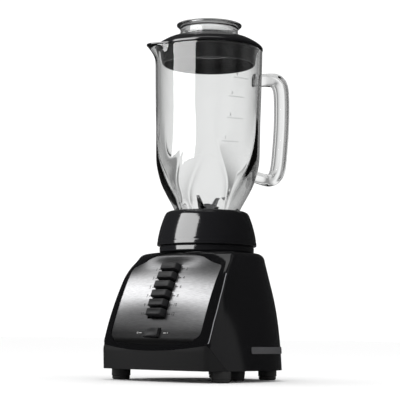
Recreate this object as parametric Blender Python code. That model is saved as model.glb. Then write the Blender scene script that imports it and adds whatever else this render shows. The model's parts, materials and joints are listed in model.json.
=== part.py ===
"""Countertop blender with a glass jar: motor base, push keys, jar, blades, lid and filler cap.

Units are metres and +Z is up. The blender stands on z = 0 and its front looks along -Y.
The motor shaft, the blade shaft and the jar share one upright axis, the drive axis.
"""
import math

import bmesh
import bpy
from mathutils import Matrix, Vector

MM = 0.001
SEGMENTS = 40             # round pieces the size of the jar
SMALL_SEGMENTS = 20

# ---- driving dimensions, millimetres about the drive axis ----
GAP = 0.3                 # clearance between pieces that touch
FLOOR_GAP = 12.0          # height of the feet
BODY_TOP = 138.0          # top deck of the base
WALL = 3.0                # wall of the moulded base
SHOULDER = 8.0            # radius that rounds the walls into the top deck
FRONT_EDGE_RADIUS = 5.0   # upright front edges, in plan
FRONT_REACH = 94.5        # furthest point of the nose in front of the drive axis
GLAND_REACH = 87.0        # furthest point of the cord inlet behind the drive axis
GLAND_Z = 21.8

# Base sections: height, half width and depth of the front edges, rear radius, bow of the front.
BASE_SECTIONS = (
    (12.0, 72.7, 86.7, 83.6, 6.0),
    (38.0, 72.7, 88.0, 81.8, 6.5),
    (62.0, 73.3, 79.3, 79.1, 6.0),
    (86.0, 73.0, 69.2, 75.0, 7.2),
    (110.0, 71.8, 57.2, 69.1, 7.5),
    (122.0, 70.0, 48.5, 66.1, 9.7),
    (132.0, 66.2, 37.3, 63.6, 18.5),
    (138.0, 61.8, 26.3, 62.6, 26.0),
)

# Side seam between the front and the side shell: distance in front of the axis, height.
SIDE_SEAM = (
    (59.4, 8.0), (61.4, 12.9), (66.1, 16.9), (77.8, 28.3), (86.0, 37.5),
    (77.4, 62.0), (67.2, 86.0), (56.9, 108.0), (52.9, 115.0), (45.4, 122.5),
    (32.4, 131.3), (22.4, 136.0), (10.4, 142.0),
)

CHIN_SIDE, CHIN_MIDDLE = 38.0, 32.0         # top edge of the chin, which sags like a smile
PLATE_SIDE, PLATE_MIDDLE = 44.3, 37.8       # bottom edge of the steel plate
PLATE_HALF_WIDTH = 62.5
PLATE_TOP = 137.0
PLATE_BACK = -50.0                          # the plate stops here, just short of the jar seat
PLATE_CORNER_Z = 125.0                      # top corners of the plate, below its arched top
PLATE_CORNER_RADIUS = 8.0
PLATE_THICKNESS = 0.8
PLATE_RECESS = 0.6

KEY_COUNT = 6
KEY_TOP_Z = 119.5
KEY_PITCH_Z = 9.65
KEY_WIDTH, KEY_HEIGHT, KEY_STAND = 24.0, 7.6, 6.5
KEY_PLATEAU = 19.0
KEY_STEM = 11.0           # how far a key's stem reaches behind the panel
KEY_TRAVEL = 4.0
KEY_CLEARANCE = 2.6       # left between a pressed key's stem and the switch block
ROCKER_Z = 51.0
ROCKER_WIDTH, ROCKER_HEIGHT, ROCKER_STAND = 20.5, 10.0, 3.2
ROCKER_TILT = math.radians(14)

SEAT_RADIUS = 52.0
COLLAR_TOP = 184.4
COLLAR_BOTTOM = 146.0
COLLAR_MOUTH = 48.6                         # inside radius of the collar's foot
NECK_RADIUS = 34.6
JAR_BOTTOM = 169.6
JAR_RIM = 365.2
GLASS_WALL = 3.8
JAR_TURN = math.radians(60)                 # handle direction, counted from +X
SPOUT_REACH = 72.0
HANDLE_RADIUS = 88.8
LID_TOP = 380.3
CAP_TOP = 394.4

SHAFT_RADIUS = 4.0
RUNNING = 0.05                              # radial clearance of a shaft in its bush
STATOR_LOW, STATOR_HIGH = 58.0, 96.0
CORE_RADIUS, STATOR_BORE = 20.0, 21.0
BLADE_REACH = 21.0

drive_axis = None


# ---------------------------------------------------------------- workshop helpers

def clear_scene():
    for obj in list(bpy.data.objects):
        bpy.data.objects.remove(obj, do_unlink=True)


def make_material(name, colour, roughness, metallic=0.0, transmission=0.0):
    material = bpy.data.materials.new(name)
    material.use_nodes = True
    shader = material.node_tree.nodes["Principled BSDF"]
    shader.inputs["Base Color"].default_value = (*colour, 1.0)
    shader.inputs["Roughness"].default_value = roughness
    shader.inputs["Metallic"].default_value = metallic
    shader.inputs["Transmission Weight"].default_value = transmission
    material.diffuse_color = (*colour, 1.0)
    return material


def add_object(name, bm, material, place=None, smooth=35.0):
    """Close a bmesh into a named object on the drive axis; place is an optional local matrix."""
    bmesh.ops.recalc_face_normals(bm, faces=bm.faces)
    mesh = bpy.data.meshes.new(name)
    bm.to_mesh(mesh)
    bm.free()
    mesh.materials.append(material)
    mesh.shade_smooth()
    mesh.set_sharp_from_angle(angle=math.radians(smooth))
    obj = bpy.data.objects.new(name, mesh)
    bpy.context.scene.collection.objects.link(obj)
    if drive_axis is not None:
        obj.parent = drive_axis
    if place is not None:
        obj.matrix_local = place
    return obj


def scratch(bm):
    """A bare object that only serves as a boolean tool."""
    bmesh.ops.recalc_face_normals(bm, faces=bm.faces)
    mesh = bpy.data.meshes.new("tool")
    bm.to_mesh(mesh)
    bm.free()
    obj = bpy.data.objects.new("tool", mesh)
    bpy.context.scene.collection.objects.link(obj)
    return obj


def combine(bm, tools, operation):
    """Cut, join or intersect one bmesh with others and give the resulting bmesh."""
    base = scratch(bm)
    cutters = [scratch(tool) for tool in tools]
    for cutter in cutters:
        modifier = base.modifiers.new(operation, "BOOLEAN")
        modifier.operation = operation
        modifier.solver = "EXACT"
        modifier.object = cutter
    evaluated = base.evaluated_get(bpy.context.evaluated_depsgraph_get())
    result = bmesh.new()
    result.from_mesh(evaluated.to_mesh())
    evaluated.to_mesh_clear()
    for obj in (base, *cutters):
        bpy.data.objects.remove(obj, do_unlink=True)
    bmesh.ops.remove_doubles(result, verts=result.verts, dist=0.001 * MM)
    bmesh.ops.dissolve_degenerate(result, edges=result.edges, dist=0.001 * MM)
    return result


def cut(bm, *tools):
    return combine(bm, tools, "DIFFERENCE")


def join(bm, *tools):
    return combine(bm, tools, "UNION")


def keep(bm, *tools):
    return combine(bm, tools, "INTERSECT")


def loft(rings, closed=False):
    """Skin equal-length rings of points; the ends are capped, or joined when closed."""
    bm = bmesh.new()
    rows = [[bm.verts.new(Vector(point) * MM) for point in ring] for ring in rings]
    count = len(rows[0])
    pairs = list(zip(rows, rows[1:]))
    if closed:
        pairs.append((rows[-1], rows[0]))
    for low, high in pairs:
        for i in range(count):
            j = (i + 1) % count
            bm.faces.new((low[i], low[j], high[j], high[i]))
    if not closed:
        bm.faces.new(rows[0])
        bm.faces.new(rows[-1])
    return bm


def turned(profile, segments=SEGMENTS, closed=True):
    """Turn (radius, height) points about Z; closed profiles make rings with a bore."""
    rings = []
    for radius, height in profile:
        rings.append([
            (radius * math.cos(a), radius * math.sin(a), height)
            for a in (2 * math.pi * i / segments for i in range(segments))
        ])
    return loft(rings, closed)


def rod(radius, low, high, segments=SMALL_SEGMENTS, chamfer=0.0):
    if chamfer:
        inner = radius - chamfer
        profile = [(inner, low), (radius, low + chamfer), (radius, high - chamfer), (inner, high)]
    else:
        profile = [(radius, low), (radius, high)]
    return turned(profile, segments, closed=False)


def box(x, y, z, bevel=0.0):
    """A box from three (low, high) spans, with optional bevelled edges."""
    bm = bmesh.new()
    bmesh.ops.create_cube(bm, size=1.0)
    spans = (x, y, z)
    size = Vector([high - low for low, high in spans]) * MM
    centre = Vector([(high + low) / 2 for low, high in spans]) * MM
    bmesh.ops.scale(bm, vec=size, verts=bm.verts)
    bmesh.ops.translate(bm, vec=centre, verts=bm.verts)
    if bevel:
        bmesh.ops.bevel(bm, geom=bm.edges, offset=bevel * MM, segments=2, affect="EDGES", profile=0.5)
    return bm


def prism(outline, low, high, axis="Z"):
    """Extrude a flat outline along X, Y or Z. The outline's two numbers are the other axes."""
    if axis == "X":
        rings = [[(end, u, v) for u, v in outline] for end in (low, high)]
    elif axis == "Y":
        rings = [[(u, end, v) for u, v in outline] for end in (low, high)]
    else:
        rings = [[(u, v, end) for u, v in outline] for end in (low, high)]
    return loft(rings)


def rounded_rectangle(half_x, half_y, radius, steps=4):
    points = []
    for quarter, (sx, sy) in enumerate(((1, 1), (-1, 1), (-1, -1), (1, -1))):
        for i in range(steps + 1):
            a = math.pi / 2 * (quarter + i / steps)
            points.append((sx * (half_x - radius) + radius * math.cos(a),
                           sy * (half_y - radius) + radius * math.sin(a)))
    return points


def moved(bm, matrix):
    bmesh.ops.transform(bm, matrix=matrix, verts=bm.verts)
    return bm


# ---------------------------------------------------------------- base casing

def section_at(z):
    """Half width, edge depth, rear radius and front bow of the base at one height."""
    z = min(max(z, BASE_SECTIONS[0][0]), BASE_SECTIONS[-1][0])
    for k in range(len(BASE_SECTIONS) - 1):
        low, high = BASE_SECTIONS[k], BASE_SECTIONS[k + 1]
        if z <= high[0]:
            break
    before = BASE_SECTIONS[max(k - 1, 0)]
    after = BASE_SECTIONS[min(k + 2, len(BASE_SECTIONS) - 1)]
    span = high[0] - low[0]
    t = (z - low[0]) / span
    values = []
    for column in range(1, 5):
        slope = (high[column] - low[column]) / span
        slope_in = (high[column] - before[column]) / (high[0] - before[0])
        slope_out = (after[column] - low[column]) / (after[0] - low[0])
        if k == 1:
            slope_in = slope          # the nose is a crease, not a curve
        if k == 0:
            slope_out = slope
        h00, h10 = (1 + 2 * t) * (1 - t) ** 2, t * (1 - t) ** 2
        h01, h11 = t * t * (3 - 2 * t), t * t * (t - 1)
        values.append(h00 * low[column] + h10 * span * slope_in
                      + h01 * high[column] + h11 * span * slope_out)
    return values


def base_outline(z, inset=0.0):
    """Plan of the base at one height: bowed front, rounded edges, swelling sides, round rear."""
    half, depth, rear, bow = section_at(z)
    half, depth, rear = half - inset, depth - inset, rear - inset
    corner = max(FRONT_EDGE_RADIUS - inset, 2.0)
    front_steps, edge_steps, side_steps, rear_steps = 5, 3, 4, 8

    def front(x):
        return -depth - bow * (1 - (x / half) ** 2)

    def side(t):
        return (half + (rear - half) * (1 - (1 - t) ** 2), -depth * (1 - t))

    inner_x = half - corner
    start = Vector((inner_x, front(inner_x)))
    side_t = corner / max(depth, corner)
    end = Vector(side(side_t))
    tip = Vector((half, front(half)))
    points = [(inner_x * i / front_steps, front(inner_x * i / front_steps)) for i in range(front_steps)]
    for i in range(edge_steps + 1):
        t = i / edge_steps
        p = start * (1 - t) ** 2 + tip * 2 * t * (1 - t) + end * t * t
        points.append((p.x, p.y))
    for i in range(1, side_steps):
        points.append(side(side_t + (1 - side_t) * i / side_steps))
    for i in range(rear_steps + 1):
        a = math.pi / 2 * i / rear_steps
        points.append((rear * math.cos(a), rear * math.sin(a)))
    mirrored = [(-x, y) for x, y in reversed(points[1:-1])]
    return points + mirrored


def base_solid(inset=0.0, bottom=FLOOR_GAP, steps=4):
    """The whole base as one block, shrunk by inset, with its shoulder rounded into the deck."""
    heights = [bottom, 38.0, 50.0, 62.0, 74.0, 86.0, 98.0, 110.0, 118.0, 124.0, 129.0]
    rings = [[(x, y, z) for x, y in base_outline(z, inset)] for z in heights]
    shoulder_start = BODY_TOP - SHOULDER
    for step in range(1, steps + 1):
        a = math.pi / 2 * step / steps
        z = shoulder_start + (SHOULDER - inset) * math.sin(a)
        pull = inset + (SHOULDER - inset) * (1 - math.cos(a))
        rings.append([(x, y, z) for x, y in base_outline(shoulder_start + 2.0 * math.sin(a), pull)])
    return loft(rings)


def front_prism(grow):
    """Everything in front of the side seam, moved backwards by grow."""
    seam = [(-depth + grow, z) for depth, z in SIDE_SEAM]
    outline = seam + [(-130.0, 150.0), (-130.0, 4.0)]
    return prism(outline, -110.0, 110.0, "X")


def smile_prism(side, middle, low=0.0, steps=12):
    """Everything below a sagging line across the front."""
    reach = 80.0
    curve = []
    for i in range(steps + 1):
        x = reach * (2 * i / steps - 1)
        curve.append((x, middle + (side - middle) * (x / 71.0) ** 2))
    outline = [(reach, low), (-reach, low)] + curve
    return prism(outline, -130.0, 0.0, "Y")


def plate_outline(grow=0.0, steps=6):
    """Steel plate seen from the front: sagging bottom edge, upright sides, arched top."""
    half = PLATE_HALF_WIDTH + grow
    radius = PLATE_CORNER_RADIUS
    points = []
    for i in range(steps + 1):
        x = (half - radius) * (2 * i / steps - 1)
        points.append((x, PLATE_MIDDLE - grow + (PLATE_SIDE - PLATE_MIDDLE) * (x / 71.0) ** 2))
    corner_steps = 3
    low, high = PLATE_SIDE + radius - grow, PLATE_CORNER_Z - radius + grow
    for i in range(1, corner_steps + 1):
        a = math.pi / 2 * i / corner_steps
        points.append((half - radius + radius * math.sin(a), low - radius * math.cos(a)))
    for i in range(corner_steps):
        a = math.pi / 2 * i / corner_steps
        points.append((half - radius + radius * math.cos(a), high + radius * math.sin(a)))
    arch_steps = 10
    rise = PLATE_TOP - PLATE_CORNER_Z
    for i in range(arch_steps + 1):
        x = (half - radius) * (1 - 2 * i / arch_steps)
        points.append((x, high + radius + rise * (1 - (x / (half - radius)) ** 2)))
    for i in reversed(range(corner_steps)):
        a = math.pi / 2 * i / corner_steps
        points.append((-half + radius - radius * math.cos(a), high + radius * math.sin(a)))
    for i in reversed(range(1, corner_steps + 1)):
        a = math.pi / 2 * i / corner_steps
        points.append((-half + radius - radius * math.sin(a), low - radius * math.cos(a)))
    return points


def front_point(z):
    """A point on the middle of the front, and the slope of the front there."""
    def depth_at(height):
        _, depth, _, bow = section_at(height)
        return depth + bow
    lean = (depth_at(z - 1.0) - depth_at(z + 1.0)) / 2.0
    return -depth_at(z), math.atan(lean)


def front_frame_of_reference(z, sink=0.0):
    """Local frame on the panel's middle: X to the right, Y inwards, Z up the slope."""
    y, lean = front_point(z)
    spin = Matrix.Rotation(-lean, 4, "X")
    return Matrix.Translation(Vector((0.0, y, z)) * MM) @ spin @ Matrix.Translation((0, sink * MM, 0))


def key_height(index):
    return KEY_TOP_Z - KEY_PITCH_Z * index


def key_windows(grow):
    """Cutters for the two openings in the panel: one for the column of keys, one for the rocker."""
    middle = key_height((KEY_COUNT - 1) / 2)
    lean = front_point(middle)[1]
    half = KEY_WIDTH / 2 + grow
    half_column = KEY_PITCH_Z * (KEY_COUNT - 1) / 2 / math.cos(lean) + KEY_HEIGHT / 2 + grow + 0.8
    column = box((-half, half), (-14.0, 14.0), (-half_column, half_column))
    column = moved(column, front_frame_of_reference(middle))
    half_width, half_height = ROCKER_WIDTH / 2 + grow, ROCKER_HEIGHT / 2 + grow
    rocker = box((-half_width, half_width), (-8.0, 8.0), (-half_height, half_height))
    return [column, moved(rocker, front_frame_of_reference(ROCKER_Z))]


def build_casing(black, satin, steel, trim, rubber):
    shell = cut(base_solid(), base_solid(WALL, 2.0, 2), rod(30.0, 120.0, 150.0, SEGMENTS))

    side = cut(shell.copy(), front_prism(GAP / 2))
    gland_hole = moved(rod(5.2, 60.0, 95.0), gland_frame())
    add_object("side_shell", cut(side, gland_hole), black)

    front = keep(shell.copy(), front_prism(-GAP / 2))
    chin = keep(front.copy(), smile_prism(CHIN_SIDE, CHIN_MIDDLE))
    add_object("chin_cover", chin, satin)
    pocket = cut(prism(plate_outline(), -130.0, PLATE_BACK, "Y"),
                 base_solid(PLATE_RECESS + PLATE_THICKNESS + GAP, 2.0))
    frame = cut(front, smile_prism(CHIN_SIDE + GAP, CHIN_MIDDLE + GAP), pocket, *key_windows(0.7))
    add_object("front_frame", frame, black)
    shell.free()

    plate = keep(base_solid(PLATE_RECESS, 2.0), prism(plate_outline(-GAP), -130.0, PLATE_BACK - GAP, "Y"))
    plate = cut(plate, base_solid(PLATE_RECESS + PLATE_THICKNESS, 2.0), *key_windows(0.5))
    add_object("faceplate", plate, steel)

    build_bottom_cover(satin)
    build_rear_strip(trim)
    build_gland(rubber)


def build_bottom_cover(satin):
    """Flat cover let into the mouth of the casing, with slots that let the motor breathe."""
    outline = base_outline(25.0, WALL + 2 * GAP)
    cover = loft([[(x, y, z) for x, y in outline] for z in (FLOOR_GAP + 0.2, FLOOR_GAP + 3.0)])
    slots = []
    for i in range(5):
        x = -24.0 + 12.0 * i
        length = math.sqrt(30.0 ** 2 - x ** 2)
        slots.append(box((x - 2.5, x + 2.5), (-length, length), (8.0, 20.0)))
    add_object("bottom_cover", cut(cover, *slots), satin)


def build_rear_strip(trim):
    """Raised band that wraps round the back of the casing, with rounded ends."""
    low, high, start = 29.8, 37.0, -25.0
    band = cut(base_solid(-1.0), base_solid(-0.3, 2.0))
    end = [(start + 2.0, high), (start + 0.6, high - 0.8), (start, high - 2.4),
           (start, low + 2.4), (start + 0.6, low + 0.8), (start + 2.0, low)]
    outline = end + [(120.0, low), (120.0, high)]
    add_object("rear_strip", keep(band, prism(outline, -120.0, 120.0, "X")), trim)


def gland_frame():
    """Frame of the cord inlet: local Z runs out of the back of the casing."""
    return Matrix.Translation(Vector((0.0, 0.0, GLAND_Z)) * MM) @ Matrix.Rotation(-math.pi / 2, 4, "X")


def build_gland(rubber):
    wall = section_at(GLAND_Z)[2]
    bore, neck, flange = 3.3, 4.9, 6.5
    profile = [(bore, wall - 8.0), (flange, wall - 8.0), (flange, wall - WALL - 1.6),
               (neck, wall - WALL - 1.6), (neck, wall + 0.9), (flange, wall + 0.9),
               (flange - 0.6, wall + 2.6), (neck - 0.4, GLAND_REACH), (bore, GLAND_REACH)]
    add_object("cord_gland", moved(turned(profile, 16), gland_frame()), rubber)


def build_feet(rubber, satin):
    places = {
        "foot_front_left": (-69.5, -60.0), "foot_front_right": (69.5, -60.0),
        "foot_rear_left": (-35.5, 66.0), "foot_rear_right": (35.5, 66.0),
    }
    profile = [(8.2, 0.0), (9.6, 1.2), (10.3, 3.6), (10.3, FLOOR_GAP - GAP)]
    for name, (x, y) in places.items():
        add_object(name, turned(profile, SMALL_SEGMENTS, closed=False), rubber,
                   Matrix.Translation(Vector((x, y, 0.0)) * MM))
    heel = prism(rounded_rectangle(9.0, 7.0, 5.0), 1.6, FLOOR_GAP - 0.1)
    for vert in heel.verts:
        if vert.co.z < 5 * MM:
            vert.co.x *= 0.86
    add_object("foot_heel", heel, satin, Matrix.Translation(Vector((65.0, -29.0, 0.0)) * MM))


def build_seat(black):
    """Round seat on the deck that the jar's collar stands on."""
    profile = [(9.6, 138.3), (51.0, 138.3), (SEAT_RADIUS, 140.0), (SEAT_RADIUS, 144.6),
               (51.2, COLLAR_BOTTOM - GAP), (46.5, COLLAR_BOTTOM - GAP), (45.6, 141.2), (22.0, 141.2),
               (19.5, 144.4), (9.6, 144.4)]
    add_object("jar_seat", turned(profile), black)


def build_screws(steel):
    for index, (x, y) in enumerate(((-46, -58), (46, -58), (-20, 66), (20, 66)), 1):
        profile = [(1.0, 11.0), (3.2, 11.1), (3.6, 11.4), (3.6, FLOOR_GAP - 0.1)]
        add_object(f"cover_screw_{index}", turned(profile, 12, closed=False), steel,
                   Matrix.Translation(Vector((x, y, 0.0)) * MM))


# ---------------------------------------------------------------- motor

def build_stator(iron, copper):
    """Laminated field with two poles, and a wound coil round each pole."""
    block = prism(rounded_rectangle(37.0, 34.0, 10.0), STATOR_LOW, STATOR_HIGH)
    window = prism(rounded_rectangle(30.0, 25.5, 5.0), STATOR_LOW - 5, STATOR_HIGH + 5)
    poles = box((-14.0, 14.0), (-40.0, 40.0), (STATOR_LOW, STATOR_HIGH))
    ring = cut(block, window)
    limits = prism(rounded_rectangle(36.0, 33.0, 10.0), STATOR_LOW, STATOR_HIGH)
    field = join(ring, keep(poles, limits))
    bore = rod(STATOR_BORE, STATOR_LOW - 5, STATOR_HIGH + 5, 32)
    add_object("field_stack", cut(field, bore), iron)
    for name, side in (("field_coil_front", -1), ("field_coil_rear", 1)):
        middle = (STATOR_LOW + STATOR_HIGH) / 2
        half_high = (STATOR_HIGH - STATOR_LOW) / 2
        outer = [(u, v + middle) for u, v in rounded_rectangle(26.0, half_high + 9.0, 7.0)]
        inner = [(u, v + middle) for u, v in rounded_rectangle(14.6, half_high + 0.6, 2.0)]
        low, high = sorted((side * 16.6, side * 24.8))
        coil = cut(prism(outer, low, high, "Y"), prism(inner, low - 5, high + 5, "Y"))
        add_object(name, coil, copper)


def build_bracket(name, metal, bar_low, bar_high, legs):
    """Cross bar that holds a bearing bush on the drive axis, with a pair of legs per span."""
    bar = box((-36.5, 36.5), (-8.5, 8.5), (bar_low, bar_high), 0.8)
    parts = []
    for low, high in legs:
        for side in (-1, 1):
            span = sorted((side * 31.8, side * 36.5))
            parts.append(box(span, (-8.5, 8.5), (low, high)))
    body = join(bar, *parts)
    return add_object(name, cut(body, rod(8.0, bar_low - 20, bar_high + 20)), metal)


def build_bush(name, bronze, low, high):
    profile = [(SHAFT_RADIUS + RUNNING, low), (7.7, low), (7.7, high), (SHAFT_RADIUS + RUNNING, high)]
    add_object(name, turned(profile, 32), bronze)


def build_brush_gear(side, brass, carbon, steel):
    label = "left" if side < 0 else "right"
    turn = Matrix.Rotation(math.pi if side < 0 else 0.0, 4, "Z")
    outer = box((12.2, 31.0), (-4.6, 4.6), (36.3, 49.0))
    channel = box((5.0, 40.0), (-3.2, 3.2), (41.0, 47.4))
    add_object(f"brush_holder_{label}", moved(cut(outer, channel), turn), brass)
    brush = box((10.9, 21.0), (-2.9, 2.9), (41.3, 47.1), 0.3)
    add_object(f"carbon_brush_{label}", moved(brush, turn), carbon)
    spring = moved(coil_spring(1.9, 0.35, 9.0, 4), Matrix.Translation(Vector((21.6, 0, 44.2)) * MM)
                   @ Matrix.Rotation(math.pi / 2, 4, "Y"))
    add_object(f"brush_spring_{label}", moved(spring, turn), steel)


def coil_spring(radius, wire, length, turns, per_turn=10, sides=5):
    """Helical wire along local Z, ended with flat caps."""
    rings = []
    for i in range(turns * per_turn + 1):
        a = 2 * math.pi * i / per_turn
        rise = wire + (length - 2 * wire) * i / (turns * per_turn)
        ring = []
        for k in range(sides):
            b = 2 * math.pi * k / sides
            reach = radius + wire * math.cos(b)
            ring.append((reach * math.cos(a), reach * math.sin(a), rise + wire * math.sin(b)))
        rings.append(ring)
    return loft(rings)


def build_armature(iron, copper, steel, plastic):
    add_object("motor_shaft", rod(SHAFT_RADIUS, 17.0, 150.0, 24, 0.6), steel)
    slots = 12
    outline = []
    for tooth in range(slots):
        for fraction, radius in ((0.08, 11.0), (0.16, 18.0), (0.22, CORE_RADIUS), (0.58, CORE_RADIUS),
                                 (0.94, CORE_RADIUS), (1.0, 18.0)):
            a = 2 * math.pi * (tooth + fraction) / slots
            outline.append((radius * math.cos(a), radius * math.sin(a)))
    core = cut(prism(outline, STATOR_LOW, STATOR_HIGH), rod(SHAFT_RADIUS + GAP, 40.0, 120.0))
    add_object("armature_core", core, iron)
    for name, low, high in (("winding_low", 53.0, STATOR_LOW - GAP),
                            ("winding_high", STATOR_HIGH + GAP, 104.0)):
        profile = [(SHAFT_RADIUS + GAP, low), (13.0, low), (15.8, low + 1.4), (15.8, high - 1.4),
                   (13.0, high), (SHAFT_RADIUS + GAP, high)]
        add_object(name, turned(profile, 24), copper)
    commutator = [(SHAFT_RADIUS + GAP, 38.5), (9.6, 38.5), (10.5, 39.4), (10.5, 50.5), (8.0, 51.5),
                  (SHAFT_RADIUS + GAP, 51.5)]
    add_object("commutator", turned(commutator, 24), copper)
    build_fan(plastic)


def build_fan(plastic):
    hub = rod(8.0, 19.0, 29.0)
    disc = rod(28.0, 19.0, 20.6, 32)
    blades = []
    for i in range(9):
        blade = box((6.5, 27.0), (-0.8, 0.8), (19.8, 28.5))
        blades.append(moved(blade, Matrix.Rotation(2 * math.pi * i / 9, 4, "Z")))
    fan = cut(join(hub, disc, *blades), rod(SHAFT_RADIUS + GAP, 10.0, 40.0))
    add_object("cooling_fan", fan, plastic)


def lobed(radius, wave, segments=48):
    """Outline of the drive stud: a round with four lobes."""
    points = []
    for i in range(segments):
        a = 2 * math.pi * i / segments
        reach = radius + wave * math.cos(4 * a)
        points.append((reach * math.cos(a), reach * math.sin(a)))
    return points


def build_drive_stud(steel):
    stud = prism(lobed(7.4, 1.1), 141.6, 154.0)
    add_object("drive_stud", cut(stud, rod(SHAFT_RADIUS + GAP, 130.0, 150.0 + GAP)), steel)


# ---------------------------------------------------------------- switches and keys

def build_keys(satin, plastic):
    half = KEY_WIDTH / 2
    plateau = KEY_PLATEAU / 2
    outline = [(-half, 6.0), (-half, -3.2), (-plateau - 1.2, -KEY_STAND + 0.5), (-plateau + 0.6, -KEY_STAND),
               (plateau - 0.6, -KEY_STAND), (plateau + 1.2, -KEY_STAND + 0.5), (half, -3.2), (half, 6.0)]
    for index in range(KEY_COUNT):
        key = prism(outline, -KEY_HEIGHT / 2, KEY_HEIGHT / 2)
        bmesh.ops.bevel(key, geom=[e for e in key.edges if max(v.co.y for v in e.verts) < -2 * MM],
                        offset=0.5 * MM, segments=2, affect="EDGES", profile=0.5)
        key = join(key, box((-6.0, 6.0), (5.0, KEY_STEM), (-1.6, 1.6)))
        add_object(f"key_{index + 1}", key, satin, front_frame_of_reference(key_height(index)))

    middle = key_height((KEY_COUNT - 1) / 2)
    frame = front_frame_of_reference(middle)
    front_face = KEY_STEM + KEY_TRAVEL + KEY_CLEARANCE
    body = box((-19.0, 19.0), (front_face, 30.0), (-31.0, 31.0), 0.8)
    body = cut(body, box((-15.0, -11.0), (10.0, 20.6), (-40.0, 40.0)))
    add_object("key_switch_block", body, plastic, frame)


def build_latch(steel):
    """Sliding bar in the switch block that releases a held key when another is pressed."""
    middle = key_height((KEY_COUNT - 1) / 2)
    bar = box((-14.0, -12.0), (16.9, 20.0), (-29.0, 29.0))
    add_object("latch_bar", bar, steel, front_frame_of_reference(middle))


def build_rocker(satin, plastic):
    """Rocker that is stored with its left end down; it turns about an axis up the panel."""
    half = ROCKER_WIDTH / 2 - 0.3
    depth = 5.0
    outline = [(-half, depth), (-half, -ROCKER_STAND), (-half * 0.45, -ROCKER_STAND - 1.2),
               (half * 0.45, -ROCKER_STAND - 1.2), (half, -ROCKER_STAND), (half, depth)]
    rocker = prism(outline, -ROCKER_HEIGHT / 2, ROCKER_HEIGHT / 2)
    place = front_frame_of_reference(ROCKER_Z, 2.0) @ Matrix.Rotation(-ROCKER_TILT / 2, 4, "Z")
    add_object("rocker_key", rocker, satin, place)
    body = box((-17.0, 17.0), (13.0, 27.0), (-8.0, 8.0), 0.8)
    add_object("rocker_switch_body", body, plastic, front_frame_of_reference(ROCKER_Z))


# ---------------------------------------------------------------- jar, blades, lid

def build_collar(black):
    """Threaded collar: a waisted skirt with an inner floor that clamps the blade unit."""
    profile = [(COLLAR_MOUTH, COLLAR_BOTTOM), (54.6, COLLAR_BOTTOM), (55.0, COLLAR_BOTTOM + 0.8),
               (54.2, 153.0), (52.2, 163.0), (49.6, 172.0), (47.0, 179.0), (45.0, 182.4), (42.0, 184.0),
               (38.0, COLLAR_TOP), (36.2, 183.6), (36.2, 163.6), (17.0, 163.6), (17.0, 160.2), (38.0, 160.2),
               (47.6, 152.0)]
    add_object("jar_collar", turned(profile), black)


def build_blade_unit(plastic, steel, rubber):
    bore = SHAFT_RADIUS + RUNNING
    housing = [(bore, 159.0), (14.5, 159.0), (16.4, 160.6), (16.4, 163.9), (33.0, 163.9), (33.0, 166.2),
               (20.0, 166.6), (12.0, 172.0), (8.5, 178.6), (bore, 178.6)]
    add_object("blade_housing", turned(housing, 32), plastic)
    gasket = [(25.0, 166.9), (34.0, 166.9), (34.6, 167.9), (34.0, JAR_BOTTOM - GAP), (25.6, JAR_BOTTOM - GAP)]
    add_object("jar_gasket", turned(gasket), rubber)

    washer = [(SHAFT_RADIUS + GAP, 179.0), (7.4, 179.0), (7.4, 181.0), (SHAFT_RADIUS + GAP, 181.0)]
    add_object("thrust_washer", turned(washer, 24), rubber)
    add_object("blade_shaft", rod(SHAFT_RADIUS, 154.6, 189.0, 24, 0.5), steel)
    add_object("lower_blade", bent_blade(181.4, (8.0, 11.0, BLADE_REACH), (0.0, 2.6, 6.0)), steel,
               Matrix.Rotation(math.radians(-20), 4, "Z"))
    add_object("upper_blade", bent_blade(184.4, (8.0, 10.0, BLADE_REACH - 3), (0.0, 2.2, 16.0)), steel,
               Matrix.Rotation(math.radians(95), 4, "Z"))
    nut = [(SHAFT_RADIUS + GAP, 186.6), (6.4, 186.6), (6.4, 190.6), (5.6, 192.4), (3.6, 193.6), (1.2, 194.0)]
    nut_body = turned(nut + [(1.2, 189.3), (SHAFT_RADIUS + GAP, 189.3)], 24)
    add_object("blade_nut", nut_body, steel)
    socket = cut(rod(13.2, 147.6, 158.6, 32, 0.6), prism(lobed(8.4, 1.1), 140.0, 154.3),
                 rod(SHAFT_RADIUS + GAP, 150.0, 160.0))
    add_object("drive_socket", socket, plastic)


def bent_blade(z, reaches, rises):
    """Two-armed blade: flat hub, then arms that taper and bend. Local X is the blade's length."""
    thickness = 1.5
    half_widths = (6.5, 4.6, 2.4)
    path = [(-r, h, w) for r, h, w in zip(reaches, rises, half_widths)][::-1]
    path += [(r, h, w) for r, h, w in zip(reaches, rises, half_widths)]
    rings = []
    for x, rise, half in path:
        low, high = z + rise, z + rise + thickness
        rings.append([(x, -half, low), (x, half, low), (x, half, high), (x, -half, high)])
    return cut(loft(rings), rod(SHAFT_RADIUS + GAP, z - 10, z + 10))


def jar_radius(z):
    """Outside of the glass: neck, belly that swells upwards, then a nearly straight wall."""
    points = ((JAR_BOTTOM, NECK_RADIUS), (183.0, NECK_RADIUS + 0.6), (190.0, 38.2), (202.0, 44.8),
              (215.0, 51.2), (232.0, 56.0), (245.0, 57.6), (287.0, 58.2), (330.0, 59.2), (JAR_RIM, 59.8))
    for (z0, r0), (z1, r1) in zip(points, points[1:]):
        if z <= z1:
            return r0 + (r1 - r0) * (z - z0) / (z1 - z0)
    return points[-1][1]


def spout_swell(angle, z):
    """How far the pouring lip stands out of the round jar; the lip is on local -X."""
    away = abs((math.degrees(angle) - 180.0 + 180.0) % 360.0 - 180.0)
    width = max(0.0, 1.0 - (away / 22.0) ** 2) ** 2
    climb = max(0.0, min(1.0, (z - 347.0) / (JAR_RIM - 347.0)))
    return (SPOUT_REACH - jar_radius(JAR_RIM)) * width * climb ** 1.7


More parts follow.
